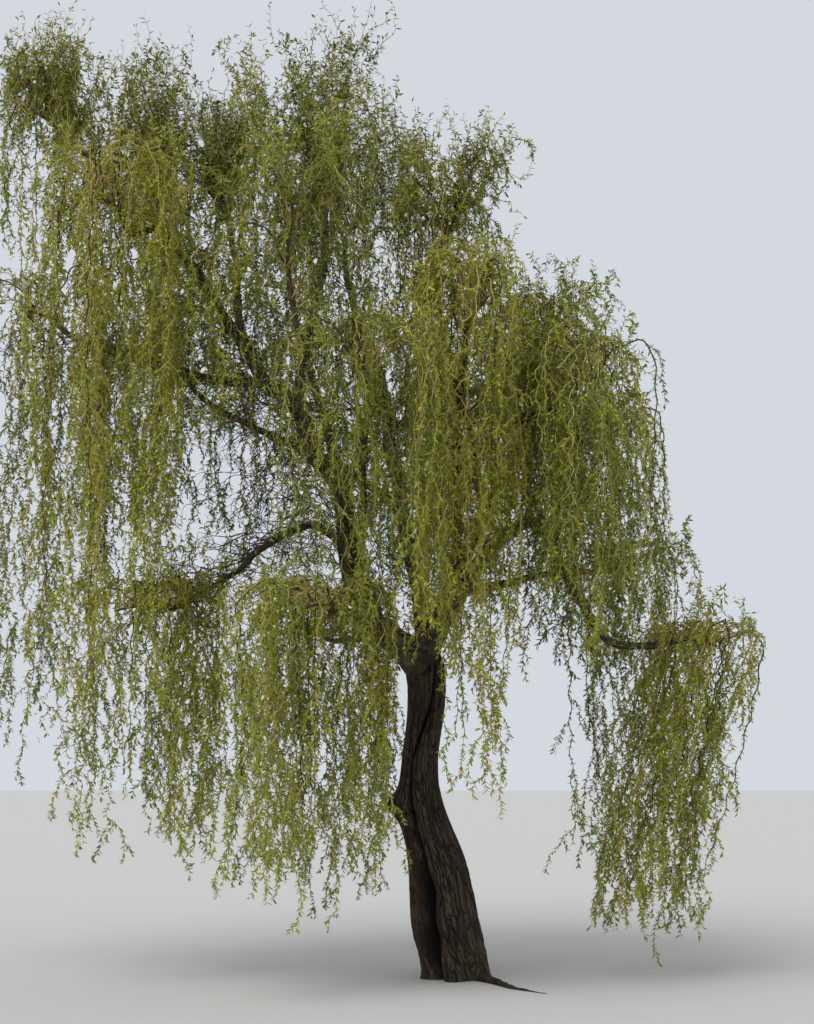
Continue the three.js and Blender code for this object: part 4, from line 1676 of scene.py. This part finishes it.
@dataclass
class Boughs:
    """The limbs' relief of bark, with each bough carried on to the tip of its mass's stem."""

    skeleton: Skeleton
    ring_step: float = 0.03
    side_width: float = 0.012
    least_sides: int = 10
    greatest_sides: int = 26
    collar: float = 0.4
    collar_reach: float = 1.5
    kink: float = 0.28
    kink_scale: float = 5.5
    kink_start: float = 0.2
    swing_shift: float = 9.0
    steep: float = 0.8
    tip_radius: float = 0.006
    grain: float = 0.1
    bark_shift: float = 40.0
    relief_mix: Triple = (0.75, 0.5, 0.25)
    ridge_scale: Triple = (2.6, 2.6, 0.8)
    roughness_scale: Triple = (5.0, 5.0, 3.0)
    knot_scale: Triple = (1.0, 1.0, 1.3)
    knot_levels: Pair = (0.66, 0.95)
    knot_height: float = 0.35
    relief_depth: Pair = (0.1, 0.2)
    young_radii: Pair = (0.03, 0.008)
    young_warmth: float = 0.55

    def profile(self, limb: Limb, legs: Array, arcs: Array) -> Array:
        """Shape how thick a bough is, with its collar and its drawn-out tip.

        Args:
            limb: The limb.
            legs: How many of its legs lie before each ring.
            arcs: How far each ring is from its root.

        Returns:
            The radius of each ring.
        """
        root, tip = limb.radius
        past = (legs - len(limb.legs)) / len(limb.mass.stem)
        plain = np.where(past > 0, between(tip, self.tip_radius, past), self.skeleton.radius(limb, legs))
        return plain * (1 + self.collar * np.exp(-arcs / (self.collar_reach * root)))

    def frames(self, tangents: Array) -> tuple[Array, Array]:
        """Carry two directions square to a path along it without twist.

        Args:
            tangents: The direction of the path at each ring.

        Returns:
            The unit directions to one side and to the other.
        """
        steep = abs(tangents[0][2]) > self.steep
        side = unit(np.cross((1.0, 0.0, 0.0) if steep else (0.0, 0.0, 1.0), tangents[0]))
        sides = []
        for tangent in tangents:
            side = unit(side - tangent * float(side @ tangent))
            sides.append(side)
        return np.array(sides), np.cross(tangents, sides)

    def middle_line(self, index: int, arcs: Array, legs: Array, radius: Array) -> tuple[Array, Array, Array]:
        """Walk the middle of a bough, which sways a little as it grows.

        Args:
            index: The number of the limb.
            arcs: How far each ring is from the limb's root.
            legs: How many of the limb's legs lie before each ring.
            radius: The radius of each ring.

        Returns:
            The middle of each ring and two directions square to it.
        """
        path = self.skeleton.paths[self.skeleton.limbs[index].name]
        sides, across = self.frames(path.tangents(legs))
        line, flat = arcs * self.kink_scale, np.zeros_like(arcs)
        place = np.stack([line, flat + index, flat], -1)
        sway = lattice_noise(place, Seed.BOUGH_SWAY) - 0.5
        swing = lattice_noise(place + (0.0, 0.0, self.swing_shift), Seed.BOUGH_SWING) - 0.5
        bend = (self.kink * radius * smooth_step(0.0, self.kink_start, arcs))[:, None]
        return path.at(legs) + 2 * bend * (sway[:, None] * sides + swing[:, None] * across), sides, across

    def bark(self, index: int, turn: Array, arc: Array, radius: Array) -> tuple[Array, Array]:
        """Shape the relief of a bough's bark and its knots.

        Args:
            index: The number of the limb.
            turn: The angle of each vertex round the bough.
            arc: How far each vertex is from the limb's root.
            radius: The radius of the bough at each vertex.

        Returns:
            The height of the relief, from 0 to 1, and each vertex's distance from the middle.
        """
        place = np.stack([np.cos(turn), np.sin(turn), arc / self.grain + self.bark_shift * index], -1)
        ridge = 1 - np.abs(2 * lattice_noise(place * self.ridge_scale, Seed.BOUGH_RIDGES) - 1)
        rough = lattice_noise(place * self.roughness_scale, Seed.BOUGH_ROUGHNESS)
        knots = smooth_step(*self.knot_levels, lattice_noise(place * self.knot_scale, Seed.BOUGH_KNOTS))
        ridged, roughened, level = self.relief_mix
        relief = np.clip(ridged * ridge + roughened * (rough - level), 0, 1)
        depth = radius * between(*self.relief_depth, np.clip(radius / self.grain, 0, 1))
        return relief, radius + depth * (relief - 0.5) + self.knot_height * radius * knots

    def build_limb(self, index: int, finish: bpy.types.Material) -> bpy.types.Object:
        """Build one bough with its relief and dress it in bark.

        Args:
            index: The number of the limb.
            finish: The bark.

        Returns:
            The bough, which stands for the limb's solids.
        """
        limb = self.skeleton.limbs[index]
        path = self.skeleton.paths[limb.name]
        length = path.length()
        rows = math.ceil(length / self.ring_step)
        columns = 2 * math.pi * limb.radius[0] / self.side_width
        columns = int(np.clip(columns, self.least_sides, self.greatest_sides))
        legs, arcs = np.linspace(0, path.leg_count, rows), np.linspace(0, length, rows)
        radius = self.profile(limb, legs, arcs)
        middle, sides, across = self.middle_line(index, arcs, legs, radius)
        row, column = np.meshgrid(np.arange(rows), np.arange(columns), indexing="ij")
        row, column = row.ravel(), column.ravel()
        turn = 2 * np.pi * column / columns
        relief, reach = self.bark(index, turn, arcs[row], radius[row])
        out = np.cos(turn)[:, None] * sides[row] + np.sin(turn)[:, None] * across[row]
        places = middle[row] + reach[:, None] * out
        triangles = closed_tube(rows, columns, len(places))
        piece = mesh_piece(f"{limb.name}_bark", np.vstack([places, middle[0], middle[-1]]), triangles)
        add_attribute(piece, "relief", np.append(relief, (0.5, 0.5)))
        young = smooth_step(*self.young_radii, radius[row]) * self.young_warmth
        add_attribute(piece, "warmth", np.append(young, (0.0, 0.0)))
        piece.data.materials.append(finish)
        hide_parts(*(limb.nodes or (limb.name,)))
        return piece

    def build(self) -> list[bpy.types.Object]:
        """Build every bough with one bark between them.

        Returns:
            The boughs.
        """
        bark = BOUGH_BARK.material()
        return [self.build_limb(index, bark) for index in range(len(self.skeleton.limbs))]


# How many times as many fine arms each mass has: the most where long twigs hang on the photographed side.
CROWDING = {
    "crest_right_mass": 1.7, "crest_far_left_mass": 1.2, "crest_rear_mass": 0.9, "rear_left_mass": 0.85,
    "rear_right_mass": 0.85, "rear_middle_mass": 1.3, "low_rear_left_mass": 1.5, "low_rear_right_mass": 1.5,
    "right_shoulder_mass": 2.1, "right_side_mass": 2.0, "right_front_mass": 2.0, "front_middle_mass": 2.6,
    "front_left_mass": 2.0, "left_front_mass": 2.1, "far_left_mass": 2.5, "low_left_mass": 2.0,
    "low_front_mass": 2.0, "low_right_mass": 2.3,
}


@dataclass(frozen=True)
class TwigKind:
    """One kind of twigs: the radius at root and tip, and how its leaves are set."""

    root: float
    tip: float
    leaf_spacing: float = 0.0
    bare: float = 0.0


@dataclass
class Foliage:
    """The twigs and leaves of every mass, grown by the rule of its solid and carried on to finer twigs."""

    skeleton: Skeleton
    box: tuple[Array, Array]
    arm_rule: ArmRule = ArmRule()
    fine_rule: ArmRule = ArmRule(
        first_key=2000, density=5.0, first_share=-0.6, shortening=0.65, radius=0.003, lane=0.004,
        widening=1.08, sprig_spread=2.7, crest_setback=0.2, lift_range=(0.4, 1.9), crowding=CROWDING,
    )
    arm_curl: tuple[Pair, ...] = ((0.008, 0.022), (0.16, 0.3))
    fine_curl: tuple[Pair, ...] = ((0.008, 0.04), (0.13, 0.27))
    curtain_rule: SideRule = SideRule(
        first_key=15000, spacing=0.09, bare=0.1, length=(0.4, 1.5), step=0.05, hang=1.0,
        curl=(0.01, 0.024), pitch=(0.15, 0.26), lowest=3.3,
    )
    arm_side_rule: SideRule = SideRule(
        first_key=20000, spacing=0.26, bare=0.1, length=(0.22, 0.6), step=0.06, hang=1.0,
        curl=(0.006, 0.02), pitch=(0.15, 0.25), rise=0.55,
    )
    fine_side_rule: SideRule = SideRule(
        first_key=30000, spacing=0.36, bare=0.12, length=(0.2, 0.5), step=0.06, hang=1.0,
        curl=(0.006, 0.02), pitch=(0.15, 0.25), rise=0.5,
    )
    crest_rule: SideRule = SideRule(
        first_key=120000, spacing=0.2, bare=0.3, length=(0.25, 0.6), step=0.05, hang=-0.9,
        curl=(0.012, 0.03), pitch=(0.12, 0.22), lowest=5.75,
    )
    shoot_rule: SideRule = SideRule(
        first_key=50000, spacing=0.075, bare=0.1, length=(0.25, 1.0), step=0.06, hang=-0.15,
        curl=(0.012, 0.034), pitch=(0.16, 0.3),
    )
    net_rule: SideRule = SideRule(
        first_key=140000, spacing=0.022, bare=0.08, length=(0.7, 1.5), step=0.06, hang=0.12,
        curl=(0.02, 0.06), pitch=(0.3, 0.6), lowest=2.7,
    )
    fine_net_rule: SideRule = SideRule(
        first_key=160000, spacing=0.15, bare=0.15, length=(0.15, 0.45), step=0.05, hang=0.2,
        curl=(0.01, 0.03), pitch=(0.15, 0.3),
    )
    twiglet_rule: SideRule = SideRule(
        first_key=60000, spacing=0.2, bare=0.15, length=(0.08, 0.2), step=0.05, hang=0.8,
        curl=(0.003, 0.008), pitch=(0.08, 0.14), fewest=3,
    )
    shoot_twiglet_rule: SideRule = SideRule(
        first_key=90000, spacing=0.16, bare=0.15, length=(0.08, 0.22), step=0.05, hang=0.7,
        curl=(0.003, 0.008), pitch=(0.08, 0.14), fewest=3,
    )
    bearer: TwigKind = TwigKind(0.008, 0.0025, leaf_spacing=0.018, bare=0.15)
    hanger: TwigKind = TwigKind(0.0055, 0.0022, leaf_spacing=0.0122, bare=0.14)
    side_twig: TwigKind = TwigKind(0.0032, 0.0016, leaf_spacing=0.0095, bare=0.05)
    twiglet: TwigKind = TwigKind(0.0022, 0.0012, leaf_spacing=0.0085, bare=0.05)
    shoot: TwigKind = TwigKind(0.0055, 0.0018, leaf_spacing=0.028, bare=0.25)
    crest_twig: TwigKind = TwigKind(0.0034, 0.0016, leaf_spacing=0.022, bare=0.1)
    net_twig: TwigKind = TwigKind(0.0055, 0.002)
    fine_net_twig: TwigKind = TwigKind(0.003, 0.0015)
    arm_sprigs: int = 2
    arm_step: float = 0.04
    arm_key: int = 1000
    fine_sprigs: int = 22
    fine_step: float = 0.05
    fine_key: int = 5000
    limb_step: float = 0.05
    limb_key: int = 900
    fewest_places: int = 3
    bearing_start: float = 0.4
    rope_twigs: int = 6
    rope_pull: float = 0.5
    rope_reach: float = 0.3
    rope_fall: float = 0.3
    rope_range: Pair = (0.2, 0.75)
    net_limbs: tuple[str, ...] = ("leader", "left_arch", "front_limb", "left_reach_limb")
    net_top: float = 4.6
    core: Pair = (-0.5, 0.1)
    core_rise: Pair = (1.8, 2.4)
    core_fall: Pair = (5.9, 5.2)
    core_edge: Pair = (1.6, 0.5)
    inner_thinning: float = 0.4
    crest_thinning: float = 0.3
    crest_heights: Pair = (6.2, 6.9)
    tint_spread: float = 1.9
    inner_shade: float = 0.8
    under_shade: float = 0.5
    under_edge: Pair = (0.45, 0.1)
    tuft: int = 2
    tuft_step: float = 0.006
    twig_gloss: Pair = (0.6, 0.3)
    leaf_gloss: Pair = (0.5, 0.35)
    leaf_length: Pair = (0.033, 0.056)
    leaf_shortest: float = 0.75
    leaf_width_share: float = 0.36
    leaf_forward: float = 0.65
    leaf_lean: Pair = (0.6, 1.2)
    leaf_droop: float = 0.25
    leaf_roll: float = 0.9
    leaf_turn: float = 60.0
    leaf_widest: float = 0.42
    leaf_fold: float = 0.06
    leaf_bend: float = 0.1
    leaf_reach: float = 0.98
    most_leaves: int = 95000

    def grow(self) -> None:
        """Grow the arms, their finer arms, side twigs, shoots and bare twigs."""
        skeleton = self.skeleton
        arms = self.arms(self.arm_rule, self.arm_sprigs, self.arm_step, self.arm_key)
        self.bearers = self.fitted(arms.curled(*self.arm_curl))
        fine_arms = self.arms(self.fine_rule, self.fine_sprigs, self.fine_step, self.fine_key)
        self.hangers = self.fitted(self.gathered(fine_arms).curled(*self.fine_curl))
        bearing = self.bearing_limbs()
        curtain = self.curtain_rule.grow(bearing, skeleton, keep_space=False)
        self.hangers = self.hangers.joined(self.fitted(curtain))
        on_arms = self.fitted(self.arm_side_rule.grow(self.bearers, skeleton))
        self.side_twigs = on_arms.joined(self.fitted(self.fine_side_rule.grow(self.hangers, skeleton)))
        self.crest_twigs = self.fitted(self.crest_rule.grow(self.hangers, skeleton))
        self.shoots = self.fitted(self.shoot_rule.grow(bearing, skeleton, keep_space=False))
        self.net = self.net_twigs(bearing)
        self.fine_net = self.fitted(self.fine_net_rule.grow(self.net, skeleton, keep_space=False))
        twiglets = self.fitted(self.twiglet_rule.grow(self.side_twigs, skeleton))
        on_shoots = self.shoot_twiglet_rule.grow(self.shoots, skeleton, keep_space=False)
        self.twiglets = twiglets.joined(self.fitted(on_shoots))

    def arms(self, rule: ArmRule, sprigs: int, step: float, first_key: int) -> Twigs:
        """Grow the arms and sprigs of every mass by a rule.

        Args:
            rule: How the arms grow.
            sprigs: How many sprigs a mass on the crest has.
            step: The distance between places on a twig.
            first_key: The key of the first twig.

        Returns:
            The twigs.
        """
        walks, masses = [], []
        for index in range(len(self.skeleton.limbs)):
            found = rule.twigs(self.skeleton, index, sprigs)
            walks += found
            masses += [index] * len(found)
        return Twigs.through(walks, masses, first_key, step)

    def bearing_limbs(self) -> Twigs:
        """Take the limbs themselves as bearers of twigs.

        Returns:
            The middle lines of the limbs, short of their stems.
        """
        limbs = self.skeleton.limbs
        walks = []
        for limb in limbs:
            legs = np.linspace(self.bearing_start, len(limb.legs), 3 * len(limb.legs))
            walks.append(self.skeleton.paths[limb.name].at(legs))
        return Twigs.through(walks, np.arange(len(limbs)), self.limb_key, self.limb_step)

    def net_twigs(self, bearing: Twigs) -> Twigs:
        """Grow the bare twigs that cross the gap on the left.

        Args:
            bearing: The middle lines of the limbs.

        Returns:
            The twigs that lead left and end below the top of the gap.
        """
        grown = self.net_rule.grow(bearing, self.skeleton, keep_space=False)
        named = np.isin([limb.name for limb in self.skeleton.limbs], self.net_limbs)[grown.masses]
        leftward = grown.tips[:, 0] < grown.roots[:, 0]
        return self.fitted(grown.chosen(named & leftward & (grown.tips[:, 2] < self.net_top)))

    def gathered(self, twigs: Twigs) -> Twigs:
        """Draw the hanging twigs of each mass together into ropes, the more the further they hang.

        Args:
            twigs: The twigs.

        Returns:
            The twigs, those that would leave their space as they were.
        """
        shift = np.zeros((len(twigs.counts), 3))
        hanging = twigs.tips[:, 2] < twigs.roots[:, 2] - self.rope_fall
        for mass in range(len(self.skeleton.limbs)):
            group = np.flatnonzero((twigs.masses == mass) & hanging)
            leads = group[:: self.rope_twigs]
            if len(leads):
                ways = (twigs.tips[leads] - twigs.tips[group, None]) * (1.0, 1.0, 0.0)
                gaps = np.linalg.norm(ways, axis=-1)
                near = (gaps.min(axis=1) < self.rope_reach)[:, None]
                nearest = ways[np.arange(len(group)), gaps.argmin(axis=1)]
                shift[group] = self.rope_pull * near * nearest
        owners = twigs.owners
        share = smooth_step(*self.rope_range, twigs.ranks / twigs.counts[owners])[:, None]
        places = twigs.places + share * shift[owners]
        fitting = self.skeleton.fits(twigs.masses[owners], places, self.fine_rule.radius, 0.0)
        shift[owners[~fitting]] = 0.0
        return twigs.moved(twigs.places + share * shift[owners])

    def fitted(self, twigs: Twigs) -> Twigs:
        """Cut off what would leave the box of the solids by more than its margin."""
        low, high = self.box
        return twigs.trimmed(((twigs.places > low) & (twigs.places < high)).all(axis=1), self.fewest_places)

    def build_twigs(self) -> list[bpy.types.Object]:
        """Build the twigs, joined by age.

        Returns:
            The pieces.
        """
        old = (
            (self.bearers, self.bearer), (self.shoots, self.shoot), (self.net, self.net_twig),
            (self.fine_net, self.fine_net_twig),
        )
        sets = (
            ("old_twigs", TwigTint.OLD, old),
            ("crest_twigs", TwigTint.GOLDEN, ((self.crest_twigs, self.crest_twig),)),
            ("hanging_twigs", TwigTint.GOLDEN, ((self.hangers, self.hanger),)),
            ("side_twigs", TwigTint.YOUNG, ((self.side_twigs, self.side_twig),)),
            ("finest_twigs", TwigTint.YOUNG, ((self.twiglets, self.twiglet),)),
        )
        pieces = []
        for name, tint, groups in sets:
            vertices, triangles, base = [], [], 0
            for twigs, kind in groups:
                places, faces = twigs.tubes(kind.root, kind.tip)
                vertices.append(places)
                triangles.append(faces + base)
                base += len(places)
            finish = PlainFinish(f"{name}_{tint.name.lower()}", tint.value, *self.twig_gloss)
            pieces.append(self.dressed(name, np.vstack(vertices), np.vstack(triangles), finish))
        return pieces

    def dressed(self, name: str, vertices: Array, triangles: Array, finish: PlainFinish) -> bpy.types.Object:
        """Build one piece of foliage, which stands for all the masses' solids.

        Args:
            name: The piece's name.
            vertices: Its vertices.
            triangles: Its faces.
            finish: Its finish.

        Returns:
            The piece.
        """
        piece = mesh_piece(name, vertices, triangles)
        piece.data.materials.append(finish.material())
        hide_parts(*(limb.mass.name for limb in self.skeleton.limbs))
        return piece

    def leaves_on(self, twigs: Twigs, kind: TwigKind) -> tuple[Array, ...]:
        """Set leaves along twigs.

        Args:
            twigs: The twigs that bear them.
            kind: The twigs' kind.

        Returns:
            For each leaf its root, direction, width direction, length and tint.
        """
        spots = twigs.spots(kind.leaf_spacing * self.tuft, kind.bare)
        twig, rank, root, way = (np.repeat(values, self.tuft, axis=0) for values in spots)
        rank = rank * self.tuft + np.arange(len(rank)) % self.tuft
        root = root + self.tuft_step * (rank % self.tuft)[:, None] * way
        kept = chance(twigs.keys[twig], rank, Draw.LEAF_KEPT) > self.thinning(root)
        twig, rank, root, way = twig[kept], rank[kept], root[kept], way[kept]
        keys = twigs.keys[twig]
        draw = [chance(keys, rank, use) for use in range(Draw.LEAF, Draw.LEAF + 6)]
        side = unit(np.cross(way, direction(FULL_TURN * draw[0])))
        turn = np.radians(GOLDEN_ANGLE * rank + self.leaf_turn * draw[1])[:, None]
        out = np.cos(turn) * side + np.sin(turn) * np.cross(way, side)
        lean = between(*self.leaf_lean, draw[2])[:, None]
        along = unit(way * self.leaf_forward + out * lean - np.array([0, 0, self.leaf_droop]))
        roll = between(-self.leaf_roll, self.leaf_roll, draw[3])[:, None]
        width = unit(np.cross(along, out) + roll * out)
        length = between(*self.leaf_length, draw[4]) * between(1.0, self.leaf_shortest, draw[5] ** 2)
        return root, along, width, length, self.tints(twigs, twig, root)

    def thinning(self, places: Array) -> Array:
        """Return the share of leaves missing at places, inside the crown and at its crest."""
        crest = smooth_step(*self.crest_heights, places[:, 2])
        return self.inner_thinning * self.depth(places) + self.crest_thinning * crest

    def depth(self, places: Array) -> Array:
        """Measure how far inside the crown places are.

        Args:
            places: The places.

        Returns:
            A number for each place, from 0 outside to 1 about the limbs.
        """
        away = np.hypot(places[:, 0] - self.core[0], places[:, 1] - self.core[1])
        level = smooth_step(*self.core_rise, places[:, 2]) * smooth_step(*self.core_fall, places[:, 2])
        return smooth_step(*self.core_edge, away) * level

    def tints(self, twigs: Twigs, twig: Array, root: Array) -> Array:
        """Deal each spray a tint by its mass's tone, darker inside the crown.

        Args:
            twigs: The twigs that bear the leaves.
            twig: The number of each leaf's twig.
            root: Each leaf's root.

        Returns:
            The number of each leaf's tint.
        """
        sprays = twigs.sprays[twig]
        tones = np.array([limb.mass.tone.value for limb in self.skeleton.limbs])[twigs.masses[twig]]
        scatter = sum(chance(sprays, Draw.SPRAY_TINT + use) - 0.5 for use in range(3))
        axes = self.skeleton.axes[twigs.masses[twig], 0, :2]
        under = self.under_shade * smooth_step(*self.under_edge, np.hypot(*(root[:, :2] - axes).T))
        tint = tones + self.tint_spread * scatter + self.inner_shade * self.depth(root) + under
        return np.clip(np.round(tint), 0, len(LeafTint) - 1).astype(int)

    def leaf_mesh(self, root: Array, along: Array, width: Array, length: Array) -> tuple[Array, Array]:
        """Build narrow pointed leaves, folded along the rib and bent down at the tip.

        Args:
            root: The root of each leaf.
            along: Its direction.
            width: The direction of its width.
            length: Its length.

        Returns:
            The vertices and triangles of all the leaves.
        """
        size = length[:, None]
        face = np.cross(along, width)
        half = width * size * self.leaf_width_share / 2
        edge = root + along * size * self.leaf_widest + face * size * self.leaf_fold
        tip = root + along * size * self.leaf_reach - face * size * self.leaf_bend
        vertices = np.stack([root, edge + half, tip, edge - half], 1).reshape(-1, 3)
        pattern = np.array([(0, 1, 2), (0, 2, 3)])
        return vertices, (4 * np.arange(len(root))[:, None, None] + pattern).reshape(-1, 3)

    def build_leaves(self) -> list[bpy.types.Object]:
        """Build the leaves, joined by tint.

        Returns:
            The pieces.
        """
        sets = (
            self.leaves_on(self.bearers, self.bearer),
            self.leaves_on(self.hangers, self.hanger),
            self.leaves_on(self.side_twigs, self.side_twig),
            self.leaves_on(self.twiglets, self.twiglet),
            self.leaves_on(self.shoots, self.shoot),
            self.leaves_on(self.crest_twigs, self.crest_twig),
        )
        root, along, width, length, tints = (np.concatenate(parts) for parts in zip(*sets))
        pieces = []
        for number, tint in enumerate(LeafTint):
            chosen = np.flatnonzero(tints == number)
            finish = PlainFinish(f"leaf_{tint.name.lower()}", tint.value, *self.leaf_gloss)
            for part, start in enumerate(range(0, len(chosen), self.most_leaves)):
                some = chosen[start : start + self.most_leaves]
                mesh = self.leaf_mesh(root[some], along[some], width[some], length[some])
                pieces.append(self.dressed(f"leaves_{tint.name.lower()}_{part + 1}", *mesh, finish))
        LOG.info("%d leaves", len(root))
        return pieces


@dataclass
class Studio:
    """A plain pale floor, soft light and the camera at the photograph's angle."""

    floor_size: float = 120.0
    floor_gap: float = 0.001
    floor_gloss: Pair = (0.9, 0.1)
    floor_colour: str = "#c6c4bf"
    sky_colour: str = "#e4e9f1"
    sky_strength: float = 0.85
    sun_strength: float = 1.6
    sun_softness: float = 40.0
    sun_angles: Triple = (38.0, 0.0, -35.0)
    camera_place: Triple = (-0.357, -14.0, 1.6)
    camera_climb: float = 6.85
    lens: float = 68.9

    def build_floor(self) -> bpy.types.Object:
        """Build the floor just under the cut of the trunk.

        Returns:
            The floor.
        """
        half = self.floor_size / 2
        mesh = bpy.data.meshes.new("floor")
        corners = [(x * half, y * half, -self.floor_gap) for x, y in ((-1, -1), (1, -1), (1, 1), (-1, 1))]
        mesh.from_pydata(corners, [], [(0, 1, 2, 3)])
        floor = bpy.data.objects.new("floor", mesh)
        bpy.context.scene.collection.objects.link(floor)
        mesh.materials.append(PlainFinish("floor", self.floor_colour, *self.floor_gloss).material())
        floor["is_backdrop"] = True
        return floor

    def build_light(self) -> None:
        """Light the plant from a pale sky and a soft sun at the front left."""
        bpy.context.scene.view_settings.view_transform = "Standard"
        world = bpy.data.worlds.new("sky")
        world.use_nodes = True
        sky = world.node_tree.nodes["Background"]
        sky.inputs["Color"].default_value = linear(self.sky_colour)
        sky.inputs["Strength"].default_value = self.sky_strength
        bpy.context.scene.world = world
        light = bpy.data.lights.new("sun", "SUN")
        light.energy = self.sun_strength
        light.angle = math.radians(self.sun_softness)
        sun = bpy.data.objects.new("sun", light)
        sun.rotation_euler = [math.radians(angle) for angle in self.sun_angles]
        bpy.context.scene.collection.objects.link(sun)

    def build_camera(self) -> None:
        """Stand the camera in front of the plant at eye level."""
        camera = bpy.data.objects.new("camera", bpy.data.cameras.new("camera"))
        camera.location = self.camera_place
        camera.rotation_euler = (math.radians(FULL_TURN / 4 + self.camera_climb), 0.0, 0.0)
        camera.data.lens = self.lens
        bpy.context.scene.collection.objects.link(camera)
        bpy.context.scene.camera = camera


def main() -> None:
    """Build the plant and its studio, keeping the foliage within the solids' box and its margin."""
    logging.basicConfig(level=logging.INFO, format="%(message)s")
    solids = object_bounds()
    low, high = (np.array(corner) for corner in solids)
    margin = BOX_MARGIN * (high - low)
    studio = Studio()
    studio.build_floor()
    studio.build_light()
    studio.build_camera()
    trunk = Trunk()
    trunk.build()
    skeleton = Skeleton(trunk, LIMBS)
    Boughs(skeleton).build()
    foliage = Foliage(skeleton, (low - margin, high + margin))
    foliage.grow()
    foliage.build_twigs()
    foliage.build_leaves()


if __name__ == "__main__":
    main()
